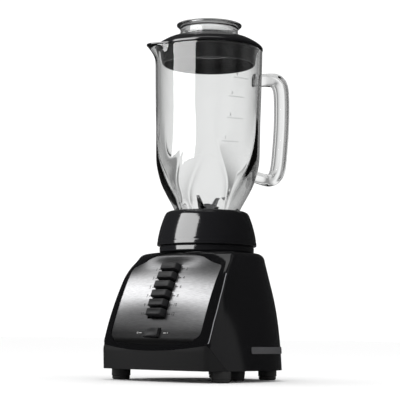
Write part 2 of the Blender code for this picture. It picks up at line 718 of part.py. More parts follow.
def build_glass(glass):
    outer_heights = [JAR_BOTTOM, 183.0, 190.0, 202.0, 215.0, 224.0, 232.0, 245.0, 266.0, 287.0, 330.0,
                     348.0, 354.0, 360.0, JAR_RIM]
    segments = 48
    angles = [2 * math.pi * i / segments for i in range(segments)]

    def ring(z, inset):
        points = []
        for a in angles:
            reach = jar_radius(z) - inset + spout_swell(a, z)
            points.append((reach * math.cos(a), reach * math.sin(a), z))
        return points

    rings = [ring(z, 0.0) for z in outer_heights]
    rings += [ring(z, GLASS_WALL) for z in reversed(outer_heights)]
    jar = loft(rings, closed=True)
    handle = swept_handle()
    add_object("jar_glass", join(jar, handle), glass, Matrix.Rotation(JAR_TURN, 4, "Z"))


def swept_handle():
    """Pressed-glass handle: narrow arms out of the jar's wall, and a wider grip."""
    route = ((57.4, 336.0, 6.6, 7.4), (70.0, 337.6, 6.8, 7.2), (80.0, 337.8, 8.4, 7.6),
             (86.8, 332.4, 9.6, 7.6), (89.2, 320.0, 9.9, 7.4), (89.6, 300.0, 9.9, 7.3),
             (HANDLE_RADIUS + 0.3, 280.0, 9.9, 7.3), (87.6, 258.0, 9.9, 7.3), (85.8, 240.0, 9.9, 7.3),
             (83.0, 230.0, 9.8, 7.2), (77.4, 223.8, 9.0, 6.8), (69.0, 223.6, 6.8, 6.4),
             (52.6, 227.0, 6.6, 6.2))
    rings = []
    sides = 12
    for k, (reach, z, half_wide, half_thick) in enumerate(route):
        before, after = route[max(k - 1, 0)], route[min(k + 1, len(route) - 1)]
        along = Vector((after[0] - before[0], 0.0, after[1] - before[1])).normalized()
        across = Vector((0.0, 1.0, 0.0))
        outward = across.cross(along)
        ring = []
        for i in range(sides):
            a = 2 * math.pi * (i + 0.5) / sides
            u = math.copysign(abs(math.cos(a)) ** 0.7, math.cos(a)) * half_wide
            v = math.copysign(abs(math.sin(a)) ** 0.7, math.sin(a)) * half_thick
            ring.append(Vector((reach, 0.0, z)) + across * u + outward * v)
        rings.append(ring)
    return loft(rings)


def build_lid(black):
    """Domed lid with a plug skirt inside the glass and a hole for the filler cap."""
    segments = 48
    profile = [(34.2, LID_TOP), (38.0, 379.7), (46.0, 377.2), (53.0, 373.5), (57.6, 370.4), (60.2, 367.9),
               (60.3, JAR_RIM + GAP), (54.0, JAR_RIM + GAP), (52.0, 350.0), (51.4, 348.5), (49.6, 348.5),
               (49.6, 364.6), (45.0, 369.8), (38.6, 374.6), (36.6, 374.2), (36.6, 367.0), (34.2, 367.0)]
    tab_scale = (SPOUT_REACH + 1.0 - 60.3) / (SPOUT_REACH - jar_radius(JAR_RIM))
    rings = []
    for index, (radius, z) in enumerate(profile):
        ring = []
        for i in range(segments):
            a = 2 * math.pi * i / segments
            tab = tab_scale * spout_swell(a, JAR_RIM) if index in (5, 6) else 0.0
            ring.append(((radius + tab) * math.cos(a), (radius + tab) * math.sin(a), z))
        rings.append(ring)
    add_object("lid", loft(rings, closed=True), black, Matrix.Rotation(JAR_TURN, 4, "Z"))


def build_cap(clear):
    """Clear filler cap: a cup open at the bottom that hangs in the lid by its shoulder."""
    profile = [(30.0, 392.6), (33.6, 393.4), (36.2, CAP_TOP), (36.4, 393.6), (33.2, 390.6),
               (32.2, 388.6), (32.2, 382.8), (35.0, 382.0), (35.0, LID_TOP + GAP), (33.2, LID_TOP + GAP),
               (32.8, 363.0), (30.4, 363.0), (30.2, 389.4), (28.0, 390.4)]
    add_object("filler_cap", turned(profile, 36, closed=False), clear)


def main():
    global drive_axis
    clear_scene()
    drive_axis = bpy.data.objects.new("drive_axis", None)
    bpy.context.scene.collection.objects.link(drive_axis)
    drive_axis.location = Vector((0.0, (FRONT_REACH - GLAND_REACH) / 2, 0.0)) * MM

    black = make_material("gloss_black", (0.012, 0.012, 0.013), 0.12)
    satin = make_material("satin_black", (0.035, 0.035, 0.037), 0.42)
    trim = make_material("grey_trim", (0.09, 0.09, 0.095), 0.35)
    steel = make_material("brushed_steel", (0.62, 0.62, 0.63), 0.28, 1.0)
    glass = make_material("jar_glass", (0.96, 0.98, 0.97), 0.02, 0.0, 1.0)
    clear = make_material("clear_plastic", (0.97, 0.97, 0.97), 0.06, 0.0, 1.0)
    rubber = make_material("black_rubber", (0.02, 0.02, 0.02), 0.8)
    iron = make_material("laminated_iron", (0.18, 0.18, 0.19), 0.5, 1.0)
    copper = make_material("copper_wire", (0.65, 0.32, 0.16), 0.35, 1.0)
    bronze = make_material("sintered_bronze", (0.45, 0.32, 0.18), 0.5, 1.0)
    carbon = make_material("carbon", (0.03, 0.03, 0.03), 0.7)
    plastic = make_material("moulded_plastic", (0.05, 0.05, 0.05), 0.5)

    build_casing(black, satin, steel, trim, rubber)
    build_feet(rubber, satin)
    build_seat(black)
    build_screws(steel)
    build_stator(iron, copper)
    build_bracket("lower_bracket", iron, 32.0, 36.0, ((15.4, 32.5), (35.5, STATOR_LOW - GAP)))
    build_bracket("upper_bracket", iron, 110.0, 114.0, ((STATOR_HIGH + GAP, 110.5),))
    build_bush("lower_bush", bronze, 30.6, 37.6)
    build_bush("upper_bush", bronze, 108.6, 116.0)
    for side in (-1, 1):
        build_brush_gear(side, bronze, carbon, steel)
    build_armature(iron, copper, steel, plastic)
    build_drive_stud(steel)
    build_keys(satin, plastic)
    build_latch(steel)
    build_rocker(satin, plastic)
    build_collar(black)
    build_blade_unit(plastic, steel, rubber)
    build_glass(glass)
    build_lid(black)
    build_cap(clear)


main()
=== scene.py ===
import json
import math

import bmesh
import bpy
from mathutils import Matrix, Vector

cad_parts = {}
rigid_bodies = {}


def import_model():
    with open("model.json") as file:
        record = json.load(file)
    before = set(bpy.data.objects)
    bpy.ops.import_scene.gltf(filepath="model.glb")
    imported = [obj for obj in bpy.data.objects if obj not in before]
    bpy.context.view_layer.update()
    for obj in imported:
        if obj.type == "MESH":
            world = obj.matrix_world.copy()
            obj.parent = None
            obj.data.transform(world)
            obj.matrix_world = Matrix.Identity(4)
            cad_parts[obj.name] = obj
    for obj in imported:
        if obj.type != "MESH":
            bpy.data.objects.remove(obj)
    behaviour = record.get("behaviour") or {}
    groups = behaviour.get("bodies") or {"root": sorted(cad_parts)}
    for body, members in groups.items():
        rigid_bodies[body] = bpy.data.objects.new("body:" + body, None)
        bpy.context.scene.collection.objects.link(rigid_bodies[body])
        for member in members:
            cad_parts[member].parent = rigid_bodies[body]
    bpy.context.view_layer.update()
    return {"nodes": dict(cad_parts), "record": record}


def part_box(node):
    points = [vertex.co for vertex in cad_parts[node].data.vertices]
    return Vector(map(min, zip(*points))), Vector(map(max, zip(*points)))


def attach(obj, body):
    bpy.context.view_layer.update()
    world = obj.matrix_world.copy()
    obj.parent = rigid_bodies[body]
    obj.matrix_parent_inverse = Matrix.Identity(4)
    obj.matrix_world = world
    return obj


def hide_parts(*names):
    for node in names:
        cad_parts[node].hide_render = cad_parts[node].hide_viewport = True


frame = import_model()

# ---- Studio -------------------------------------------------------------------------------
# A pale floor in a white surround, a camera low in front and to the right, and softboxes that
# each light one family of pieces, so that gloss, steel and glass all read clearly.
MM = 0.001
shaft_low, shaft_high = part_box("motor_shaft")
AXIS_Y = (shaft_low.y + shaft_high.y) / 2
CAMERA_DISTANCE, CAMERA_HEIGHT, CAMERA_BEARING = 1.4799, 0.0484, math.radians(39.0)
HEADING, PITCH, ROLL = math.radians(39.311), math.radians(5.756), math.radians(0.687)

camera_data = bpy.data.cameras.new("camera")
LENS, SENSOR, FAR_LIMIT = 120.9, 36.0, 50.0
camera_data.lens, camera_data.sensor_width, camera_data.clip_end = LENS, SENSOR, FAR_LIMIT
camera = bpy.data.objects.new("camera", camera_data)
bpy.context.scene.collection.objects.link(camera)
forward = Vector((-math.sin(HEADING) * math.cos(PITCH), math.cos(HEADING) * math.cos(PITCH), math.sin(PITCH)))
level = forward.cross(Vector((0, 0, 1))).normalized()
upright = level.cross(forward)
right = level * math.cos(ROLL) + upright * math.sin(ROLL)
top = upright * math.cos(ROLL) - level * math.sin(ROLL)
camera.matrix_world = Matrix.Translation((
    math.sin(CAMERA_BEARING) * CAMERA_DISTANCE, AXIS_Y - math.cos(CAMERA_BEARING) * CAMERA_DISTANCE, CAMERA_HEIGHT,
)) @ Matrix((right, top, -forward)).transposed().to_4x4()
bpy.context.scene.camera = camera
bpy.context.scene.view_settings.view_transform = "Standard"


LIGHT_TARGET_Z = 0.16


def softbox(name, bearing, rise, distance, width, height, watts, roll=0.0, lights=None):
    """Area light at a bearing from the front and a rise above level, for all or for chosen pieces."""
    bearing, rise = math.radians(bearing), math.radians(rise)
    away = Vector((math.sin(bearing) * math.cos(rise), -math.cos(bearing) * math.cos(rise), math.sin(rise)))
    data = bpy.data.lights.new(name, "AREA")
    data.shape, data.size, data.size_y, data.energy = "RECTANGLE", width, height, watts
    light = bpy.data.objects.new(name, data)
    bpy.context.scene.collection.objects.link(light)
    light.location = Vector((0.0, AXIS_Y, LIGHT_TARGET_Z)) + away * distance
    turned_face = away.to_track_quat("Z", "Y").to_matrix() @ Matrix.Rotation(math.radians(roll), 3, "Z")
    light.rotation_euler = turned_face.to_euler()
    light.light_linking.receiver_collection = lights
    light.visible_camera = False
    light.visible_transmission = False
    return light


panel_pieces, jar_pieces, shell_pieces, chin_pieces = [
    bpy.data.collections.new(family) for family in ("panel_pieces", "jar_pieces", "shell_pieces", "chin_pieces")]
softbox("front_softbox", -40.0, 14.0, 1.35, 0.80, 1.05, 4.6, lights=chin_pieces)
softbox("jar_softbox", -15.0, 22.0, 1.35, 1.26, 1.30, 58.0, lights=jar_pieces)
softbox("panel_softbox", -56.0, 33.0, 1.25, 1.70, 0.26, 3.1, roll=18.0, lights=panel_pieces)
softbox("panel_fill", 14.0, 50.0, 1.3, 1.1, 0.5, 2.2, lights=panel_pieces)
softbox("side_panel", 114.0, 26.0, 1.6, 0.9, 2.4, 1.7, lights=shell_pieces)
softbox("top_softbox", 20.0, 80.0, 1.4, 0.8, 0.8, 3.0)

world = bpy.data.worlds.new("studio_surround")
bpy.context.scene.world = world
world.use_nodes = True
world_nodes, world_links = world.node_tree.nodes, world.node_tree.links
backdrop = world_nodes["Background"]
ray = world_nodes.new("ShaderNodeLightPath")


def world_node(kind, operation=None, *values):
    """Add a node to the surround and feed its first inputs with numbers or sockets."""
    node = world_nodes.new("ShaderNode" + kind)
    if operation:
        node.operation = operation
    for socket, value in zip(node.inputs, values):
        if isinstance(value, bpy.types.NodeSocket):
            world_links.new(value, socket)
        else:
            socket.default_value = value
    return node


# Seen through glass, the surround is a ring of eight white walls with grey corners, so the
# edges and creases of clear pieces are drawn darker. Gloss reflects a dark room instead.
bearing = world_node("TexCoord").outputs["Generated"]
wall_axis = Vector((-math.sin(HEADING), math.cos(HEADING), 0.0))
along_wall = world_node("VectorMath", "DOT_PRODUCT", bearing, wall_axis).outputs["Value"]
side_axis = wall_axis.cross(Vector((0, 0, 1)))
across_wall = world_node("VectorMath", "DOT_PRODUCT", bearing, side_axis).outputs["Value"]
along_square = world_node("Math", "MULTIPLY", along_wall, along_wall).outputs[0]
across_square = world_node("Math", "MULTIPLY", across_wall, across_wall).outputs[0]
difference = world_node("Math", "SUBTRACT", along_square, across_square).outputs[0]
level_part = world_node("Math", "ADD", along_square, across_square).outputs[0]
share = world_node("Math", "DIVIDE", difference, level_part).outputs[0]
share_square = world_node("Math", "MULTIPLY", share, share).outputs[0]
eight_fold = world_node("Math", "MULTIPLY_ADD", share_square, 2.0, -1.0).outputs[0]
facing_wall = world_node("Math", "ABSOLUTE", eight_fold).outputs[0]
PLAIN_WHITE, DARK_ROOM = 1.12, 0.035
CORNER_EDGE, WALL_EDGE, CORNER_GREY, WALL_WHITE = 0.20, 0.985, 0.32, 1.04
ONE_WALL_SHARE, BEYOND_SHARE = 0.5, 0.25
wall_light = world_node("MapRange", None, facing_wall, CORNER_EDGE, WALL_EDGE, CORNER_GREY, WALL_WHITE)
through = world_node("Math", "MINIMUM", ray.outputs["Transmission Depth"], 1.0).outputs[0]
behind_glass = world_nodes.new("ShaderNodeMix")
behind_glass.inputs["A"].default_value = PLAIN_WHITE
world_links.new(through, behind_glass.inputs["Factor"])
world_links.new(wall_light.outputs["Result"], behind_glass.inputs["B"])
reflected = world_node("Math", "MINIMUM", ray.outputs["Glossy Depth"], 1.0).outputs[0]
in_one_wall = world_node("Math", "COMPARE", ray.outputs["Transmission Depth"], 2.0, 0.5).outputs[0]
beyond = world_node("Math", "GREATER_THAN", ray.outputs["Transmission Depth"], 2.5).outputs[0]
lifted = world_node("Math", "MULTIPLY_ADD", in_one_wall, -ONE_WALL_SHARE, reflected).outputs[0]
mirrored = world_node("Math", "MULTIPLY_ADD", beyond, -BEYOND_SHARE, lifted).outputs[0]
mirrored.node.use_clamp = True
surround = world_nodes.new("ShaderNodeMix")
surround.inputs["B"].default_value = DARK_ROOM
world_links.new(mirrored, surround.inputs["Factor"])
world_links.new(behind_glass.outputs["Result"], surround.inputs["A"])
world_links.new(surround.outputs["Result"], backdrop.inputs["Color"])

floor_mesh = bpy.data.meshes.new("studio_floor")
floor_bm = bmesh.new()
bmesh.ops.create_grid(floor_bm, x_segments=4, y_segments=4, size=14.0)
floor_bm.to_mesh(floor_mesh)
floor_bm.free()
floor = bpy.data.objects.new("studio_floor", floor_mesh)
bpy.context.scene.collection.objects.link(floor)
floor_paint = bpy.data.materials.new("studio_floor")
floor_paint.use_nodes = True
floor_shader = floor_paint.node_tree.nodes["Principled BSDF"]
floor_shader.inputs["Base Color"].default_value = (0.96, 0.96, 0.96, 1)
floor_shader.inputs["Roughness"].default_value = 0.9
floor_mesh.materials.append(floor_paint)

# ---- Side shell ---------------------------------------------------------------------------
# The large black moulding that wraps the sides, the deck and the back of the base. It is
# injection-moulded gloss plastic with a 3 mm wall, open at the bottom and along the front.
GAP = 0.3
FLOOR_GAP, DECK, WALL, SHOULDER, EDGE_RADIUS = 12.0, 138.0, 3.0, 8.0, 5.0
# height, half width, depth of the front edges, rear radius, bow of the front
BASE_SECTIONS = (
    (12.0, 72.7, 86.7, 83.6, 6.0), (38.0, 72.7, 88.0, 81.8, 6.5), (62.0, 73.3, 79.3, 79.1, 6.0),
    (86.0, 73.0, 69.2, 75.0, 7.2), (110.0, 71.8, 57.2, 69.1, 7.5), (122.0, 70.0, 48.5, 66.1, 9.7),
    (132.0, 66.2, 37.3, 63.6, 18.5), (138.0, 61.8, 26.3, 62.6, 26.0),
)
NOSE_Z, NOSE_SOFTNESS = 38.0, 8.0
SIDE_SEAM = (
    (59.4, 8.0), (61.4, 12.9), (66.1, 16.9), (77.8, 28.3), (86.0, 37.5), (77.4, 62.0), (67.2, 86.0),
    (56.9, 108.0), (52.9, 115.0), (45.4, 122.5), (32.4, 131.3), (22.4, 136.0), (10.4, 142.0),
)


def section_at(z):
    """Half width, edge depth, rear radius and front bow of the base at one height."""
    z = min(max(z, BASE_SECTIONS[0][0]), BASE_SECTIONS[-1][0])
    for k in range(len(BASE_SECTIONS) - 1):
        low, high = BASE_SECTIONS[k], BASE_SECTIONS[k + 1]
        if z <= high[0]:
            break
    before = BASE_SECTIONS[max(k - 1, 0)]
    after = BASE_SECTIONS[min(k + 2, len(BASE_SECTIONS) - 1)]
    span = high[0] - low[0]
    t = (z - low[0]) / span
    values = []
    for column in range(1, 5):
        slope = (high[column] - low[column]) / span
        slope_in = (high[column] - before[column]) / (high[0] - before[0])
        slope_out = (after[column] - low[column]) / (after[0] - low[0])
        if k == 1:
            slope_in = slope
        if k == 0:
            slope_out = slope
        h00, h10 = (1 + 2 * t) * (1 - t) ** 2, t * (1 - t) ** 2
        h01, h11 = t * t * (3 - 2 * t), t * t * (t - 1)
        values.append(h00 * low[column] + h10 * span * slope_in + h01 * high[column] + h11 * span * slope_out)
    return values


def softened_section(z):
    """The same section with its nose crease rounded off over a few millimetres."""
    near = max(0.0, NOSE_SOFTNESS - abs(z - NOSE_Z))
    return [(low + high) / 2 for low, high in zip(section_at(z - near), section_at(z + near))]


def base_plan(z, inset=0.0):
    """Plan of the base at one height: bowed front, rounded edges, swelling sides, round rear."""
    half, depth, rear, bow = softened_section(z)
    half, depth, rear = half - inset, depth - inset, rear - inset
    corner = max(EDGE_RADIUS - inset, 2.0)
    front_steps, edge_steps, side_steps, rear_steps = 12, 6, 10, 18

    def front(x):
        return -depth - bow * (1 - (x / half) ** 2)

    def side(t):
        return (half + (rear - half) * (1 - (1 - t) ** 2), -depth * (1 - t))

    inner_x = half - corner
    start = Vector((inner_x, front(inner_x)))
    side_t = corner / max(depth, corner)
    end = Vector(side(side_t))
    tip = Vector((half, front(half)))
    points = [(inner_x * i / front_steps, front(inner_x * i / front_steps)) for i in range(front_steps)]
    for i in range(edge_steps + 1):
        t = i / edge_steps
        p = start * (1 - t) ** 2 + tip * 2 * t * (1 - t) + end * t * t
        points.append((p.x, p.y))
    for i in range(1, side_steps):
        points.append(side(side_t + (1 - side_t) * i / side_steps))
    for i in range(rear_steps + 1):
        a = math.pi / 2 * i / rear_steps
        points.append((rear * math.cos(a), rear * math.sin(a)))
    return points + [(-x, y) for x, y in reversed(points[1:-1])]


def skin(rings, closed=False):
    """Skin equal rings of points; the ends are capped, or joined when closed."""
    bm = bmesh.new()
    rows = [[bm.verts.new(Vector(point)) for point in ring] for ring in rings]
    count = len(rows[0])
    pairs = list(zip(rows, rows[1:]))
    if closed:
        pairs.append((rows[-1], rows[0]))
    for low, high in pairs:
        for i in range(count):
            j = (i + 1) % count
            bm.faces.new((low[i], low[j], high[j], high[i]))
    if not closed:
        bm.faces.new(rows[0])
        bm.faces.new(rows[-1])
    bmesh.ops.recalc_face_normals(bm, faces=bm.faces)
    return bm


def base_block(inset=0.0, bottom=FLOOR_GAP):
    """The whole base as one block, shrunk by inset, its walls rounded into the deck."""
    heights = [bottom, 18.0, 24.0] + [28.0 + 2.5 * i for i in range(9)] + [53.0 + 5.0 * i for i in range(16)]
    rings = [[(x, y, z) for x, y in base_plan(z, inset)] for z in heights]
    shoulder_start, shoulder_steps = DECK - SHOULDER, 9
    for step in range(1, shoulder_steps + 1):
        a = math.pi / 2 * step / shoulder_steps
        pull = inset + (SHOULDER - inset) * (1 - math.cos(a))
        z = shoulder_start + (SHOULDER - inset) * math.sin(a)
        rings.append([(x, y, z) for x, y in base_plan(shoulder_start + 2.0 * math.sin(a), pull)])
    return skin(rings)


def prism(outline, low, high, axis="Z"):
    """Extrude a flat outline along X, Y or Z. The outline's two numbers are the other axes."""
    place = {"X": lambda u, v, w: (w, u, v), "Y": lambda u, v, w: (u, w, v), "Z": lambda u, v, w: (u, v, w)}[axis]
    return skin([[place(u, v, end) for u, v in outline] for end in (low, high)])


def box(x, y, z):
    return prism([(x[0], y[0]), (x[1], y[0]), (x[1], y[1]), (x[0], y[1])], *z)


def tool(bm):
    mesh = bpy.data.meshes.new("tool")
    bm.to_mesh(mesh)
    bm.free()
    obj = bpy.data.objects.new("tool", mesh)
    bpy.context.scene.collection.objects.link(obj)
    return obj


def combine(operation, bm, *others):
    """Cut, join or intersect solids and give back the resulting one."""
    base, cutters = tool(bm), [tool(other) for other in others]
    for cutter in cutters:
        modifier = base.modifiers.new(operation, "BOOLEAN")
        modifier.operation, modifier.solver, modifier.object = operation, "EXACT", cutter
    evaluated = base.evaluated_get(bpy.context.evaluated_depsgraph_get())
    result = bmesh.new()
    result.from_mesh(evaluated.to_mesh())
    evaluated.to_mesh_clear()
    for obj in (base, *cutters):
        bpy.data.objects.remove(obj, do_unlink=True)
    bmesh.ops.remove_doubles(result, verts=result.verts, dist=0.002)
    bmesh.ops.dissolve_degenerate(result, edges=result.edges, dist=0.002)
    return result


def fit(name, bm, material, body, nodes=(), bevel=0.0, sharp=32.0, place=None):
    """Turn a solid in millimetres about the drive axis into a piece that rides on a body."""
    if place is not None:
        bmesh.ops.transform(bm, matrix=place, verts=bm.verts)
    bmesh.ops.transform(bm, matrix=Matrix.Translation((0, AXIS_Y, 0)) @ Matrix.Scale(MM, 4), verts=bm.verts)
    bmesh.ops.recalc_face_normals(bm, faces=bm.faces)
    mesh = bpy.data.meshes.new(name)
    bm.to_mesh(mesh)
    bm.free()
    mesh.materials.append(material)
    mesh.shade_smooth()
    mesh.set_sharp_from_angle(angle=math.radians(sharp))
    piece = bpy.data.objects.new(name, mesh)
    bpy.context.scene.collection.objects.link(piece)
    if bevel:
        rounding = piece.modifiers.new("edge_rounding", "BEVEL")
        rounding.width, rounding.segments, rounding.limit_method = bevel * MM, 2, "ANGLE"
        rounding.angle_limit = math.radians(38)
        rounding.harden_normals = True
    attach(piece, body)
    if nodes:
        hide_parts(*nodes)
    return piece


def new_group(name, inputs, outputs):
    """An empty shader node group with named float, colour or vector sockets."""
    group = bpy.data.node_groups.new(name, "ShaderNodeTree")
    for label, kind, value in inputs:
        socket = group.interface.new_socket(name=label, in_out="INPUT", socket_type="NodeSocket" + kind)
        socket.default_value = value
    for label, kind in outputs:
        group.interface.new_socket(name=label, in_out="OUTPUT", socket_type="NodeSocket" + kind)
    return group, group.nodes.new("NodeGroupInput"), group.nodes.new("NodeGroupOutput")


def put(tree, kind, settings=(), **inputs):
    """Add a node, set its properties, and set or link its named inputs."""
    node = tree.nodes.new("ShaderNode" + kind)
    for key, value in dict(settings).items():
        setattr(node, key, value)
    for key, value in inputs.items():
        numbered = key[0] == "i" and key[1:].isdigit()
        socket = node.inputs[int(key[1:]) if numbered else key.replace("_", " ")]
        if isinstance(value, bpy.types.NodeSocket):
            tree.links.new(value, socket)
        else:
            socket.default_value = value
    return node


# Handling marks: faint smears that change the gloss, and dust that settles on upper faces.
handling, marks_in, marks_out = new_group(
    "handling_marks",
    [("Colour", "Color", (0.5, 0.5, 0.5, 1)), ("Roughness", "Float", 0.3), ("Smear", "Float", 0.05),
     ("Smear Scale", "Float", 30.0), ("Dust", "Float", 0.05)],
    [("Colour", "Color"), ("Roughness", "Float")])
spot = put(handling, "TexCoord").outputs["Object"]
smear = put(handling, "TexNoise", Vector=spot, Scale=marks_in.outputs["Smear Scale"], Detail=4.0, Roughness=0.6)
swing = put(handling, "Math", {"operation": "SUBTRACT"}, i0=smear.outputs["Fac"], i1=0.5)
change = put(handling, "Math", {"operation": "MULTIPLY"}, i0=swing.outputs[0], i1=marks_in.outputs["Smear"])
speck = put(handling, "TexNoise", Vector=spot, Scale=900.0, Detail=2.0)
speck_cut = put(handling, "MapRange", {}, Value=speck.outputs["Fac"], From_Min=0.45, From_Max=0.75)
facing = put(handling, "SeparateXYZ", Vector=put(handling, "NewGeometry").outputs["Normal"])
upper = put(handling, "MapRange", {}, Value=facing.outputs["Z"], From_Min=0.3, From_Max=1.0)
settled = put(handling, "Math", {"operation": "MULTIPLY"}, i0=upper.outputs[0], i1=speck_cut.outputs[0])
dust = put(handling, "Math", {"operation": "MULTIPLY"}, i0=settled.outputs[0], i1=marks_in.outputs["Dust"])
dusty = put(handling, "Mix", {"data_type": "RGBA"}, Factor=dust.outputs[0])
handling.links.new(marks_in.outputs["Colour"], dusty.inputs["A"])
dusty.inputs["B"].default_value = (0.42, 0.41, 0.39, 1)
rough = put(handling, "Math", {"operation": "ADD", "use_clamp": True}, i0=marks_in.outputs["Roughness"],
            i1=change.outputs[0])
rough_dust = put(handling, "Math", {"operation": "ADD", "use_clamp": True}, i0=rough.outputs[0], i1=dust.outputs[0])
handling.links.new(dusty.outputs["Result"], marks_out.inputs["Colour"])
handling.links.new(rough_dust.outputs[0], marks_out.inputs["Roughness"])

# Moulded grain: the fine pebble left on plastic and rubber by a textured mould.
grain, grain_in, grain_out = new_group(
    "moulded_grain", [("Scale", "Float", 1200.0), ("Flow Scale", "Float", 60.0), ("Flow", "Float", 0.2)],
    [("Height", "Float"), ("Mask", "Float")])
spot = put(grain, "TexCoord").outputs["Object"]
pebble = put(grain, "TexVoronoi", {"feature": "SMOOTH_F1"}, Vector=spot, Scale=grain_in.outputs["Scale"])
flow = put(grain, "TexNoise", Vector=spot, Scale=grain_in.outputs["Flow Scale"], Detail=3.0)
flow_part = put(grain, "Math", {"operation": "MULTIPLY"}, i0=flow.outputs["Fac"], i1=grain_in.outputs["Flow"])
height = put(grain, "Math", {"operation": "ADD"}, i0=pebble.outputs["Distance"], i1=flow_part.outputs[0])
grain.links.new(height.outputs[0], grain_out.inputs["Height"])
grain.links.new(flow.outputs["Fac"], grain_out.inputs["Mask"])


def add_group(tree, group, **values):
    return put(tree, "Group", {"node_tree": group}, **values)


def moulded(name, colour, roughness, smear=0.05, smear_scale=30.0, dust=0.04, grain_scale=1200.0, grain_depth=0.02,
            shine=0.5):
    """Moulded plastic or rubber: handling marks over a colour, and a mould grain as relief."""
    material = bpy.data.materials.new(name)
    material.use_nodes = True
    tree = material.node_tree
    shader = tree.nodes["Principled BSDF"]
    marks = add_group(tree, handling, Colour=(*colour, 1.0), Roughness=roughness, Smear=smear,
                      Smear_Scale=smear_scale, Dust=dust)
    relief = add_group(tree, grain, Scale=grain_scale)
    bump = put(tree, "Bump", Strength=0.35, Distance=grain_depth * MM, Height=relief.outputs["Height"])
    tree.links.new(marks.outputs["Colour"], shader.inputs["Base Color"])
    tree.links.new(marks.outputs["Roughness"], shader.inputs["Roughness"])
    tree.links.new(bump.outputs["Normal"], shader.inputs["Normal"])
    shader.inputs["Specular IOR Level"].default_value = shine
    material.diffuse_color = (*colour, 1.0)
    return material


gloss_black = moulded("gloss_black", (0.004, 0.004, 0.0045), 0.10, smear=0.08, smear_scale=22.0, dust=0.03,
                      grain_scale=700.0, grain_depth=0.004)
seam = [(-depth, z) for depth, z in SIDE_SEAM]


def front_prism(grow):
    """Everything in front of the side seam, moved backwards by grow."""
    return prism([(y + grow, z) for y, z in seam] + [(-130.0, 150.0), (-130.0, 4.0)], -110.0, 110.0, "X")


def turned(profile, segments=128, closed=True):
    """Turn (radius, height) points about the drive axis; closed profiles leave a bore."""
    return skin([[(r * math.cos(a), r * math.sin(a), z)
                  for a in (2 * math.pi * i / segments for i in range(segments))] for r, z in profile], closed)


GLAND_Z = 21.8
gland_place = Matrix.Translation((0.0, 0.0, GLAND_Z)) @ Matrix.Rotation(-math.pi / 2, 4, "X")
gland_hole = turned([(5.2, 60.0), (5.2, 95.0)], 48, closed=False)
bmesh.ops.transform(gland_hole, matrix=gland_place, verts=gland_hole.verts)
shell = combine("DIFFERENCE", base_block(), base_block(WALL, 2.0), turned([(30.0, 120.0), (30.0, 150.0)], 96, False))
fit("side_shell_moulding", combine("DIFFERENCE", shell.copy(), front_prism(GAP / 2), gland_hole), gloss_black,
    "base", ["side_shell"], bevel=0.5)

# ---- Front surround and chin --------------------------------------------------------------
# The surround is the gloss black frame round the steel panel. The chin below it is a separate
# satin moulding whose upper edge sags like a smile; both clip to the side shell.
CHIN_SIDE, CHIN_MIDDLE, SMILE_HALF = 38.0, 32.0, 71.0
PLATE_SIDE, PLATE_MIDDLE = 44.3, 37.8
PLATE_HALF_WIDTH, PLATE_TOP, PLATE_BACK = 62.5, 137.0, -50.0
PLATE_CORNER_Z, PLATE_CORNER_RADIUS = 125.0, 8.0
PLATE_THICKNESS, PLATE_RECESS = 0.8, 0.6
KEY_COUNT, KEY_TOP_Z, KEY_PITCH_Z = 6, 119.5, 9.65
KEY_WIDTH, KEY_HEIGHT, KEY_STAND, KEY_PLATEAU, KEY_STEM = 24.0, 7.6, 6.5, 19.0, 11.0
ROCKER_Z, ROCKER_WIDTH, ROCKER_HEIGHT, ROCKER_STAND = 51.0, 20.5, 10.0, 3.2


def smile_prism(side, middle, steps=32):
    """Everything below a sagging line across the front."""
    reach = 80.0
    curve = []
    for i in range(steps + 1):
        x = reach * (2 * i / steps - 1)
        curve.append((x, middle + (side - middle) * (x / SMILE_HALF) ** 2))
    return prism([(reach, 0.0), (-reach, 0.0)] + curve, -130.0, 0.0, "Y")


def plate_outline(grow=0.0, steps=24, corner_steps=6, arch_steps=24):
    """Steel plate from the front: sagging bottom edge, upright sides, arched top."""
    half, radius = PLATE_HALF_WIDTH + grow, PLATE_CORNER_RADIUS
    low, high = PLATE_SIDE + radius - grow, PLATE_CORNER_Z - radius + grow
    rise = PLATE_TOP - PLATE_CORNER_Z
    corner = [math.pi / 2 * i / corner_steps for i in range(corner_steps + 1)]
    right_side = [(half - radius + radius * math.sin(a), low - radius * math.cos(a)) for a in corner[1:]]
    right_side += [(half - radius + radius * math.cos(a), high + radius * math.sin(a)) for a in corner[:-1]]
    points = []
    for i in range(steps + 1):
        x = (half - radius) * (2 * i / steps - 1)
        points.append((x, PLATE_MIDDLE - grow + (PLATE_SIDE - PLATE_MIDDLE) * (x / SMILE_HALF) ** 2))
    points += right_side
    for i in range(arch_steps + 1):
        x = (half - radius) * (1 - 2 * i / arch_steps)
        points.append((x, high + radius + rise * (1 - (x / (half - radius)) ** 2)))
    return points + [(-x, z) for x, z in reversed(right_side)]


def panel_slope(z):
    """Depth of the panel's middle in front of the axis, and its lean."""
    depth_at = [sum(section_at(h)[1::2]) for h in (z - 1.0, z, z + 1.0)]
    return depth_at[1], math.atan((depth_at[0] - depth_at[2]) / 2.0)


def on_panel(z, sink=0.0):
    """Local frame on the panel's middle: X to the right, Y inwards, Z up the slope."""
    depth, lean = panel_slope(z)
    return Matrix.Translation((0.0, -depth, z)) @ Matrix.Rotation(-lean, 4, "X") @ Matrix.Translation((0, sink, 0))


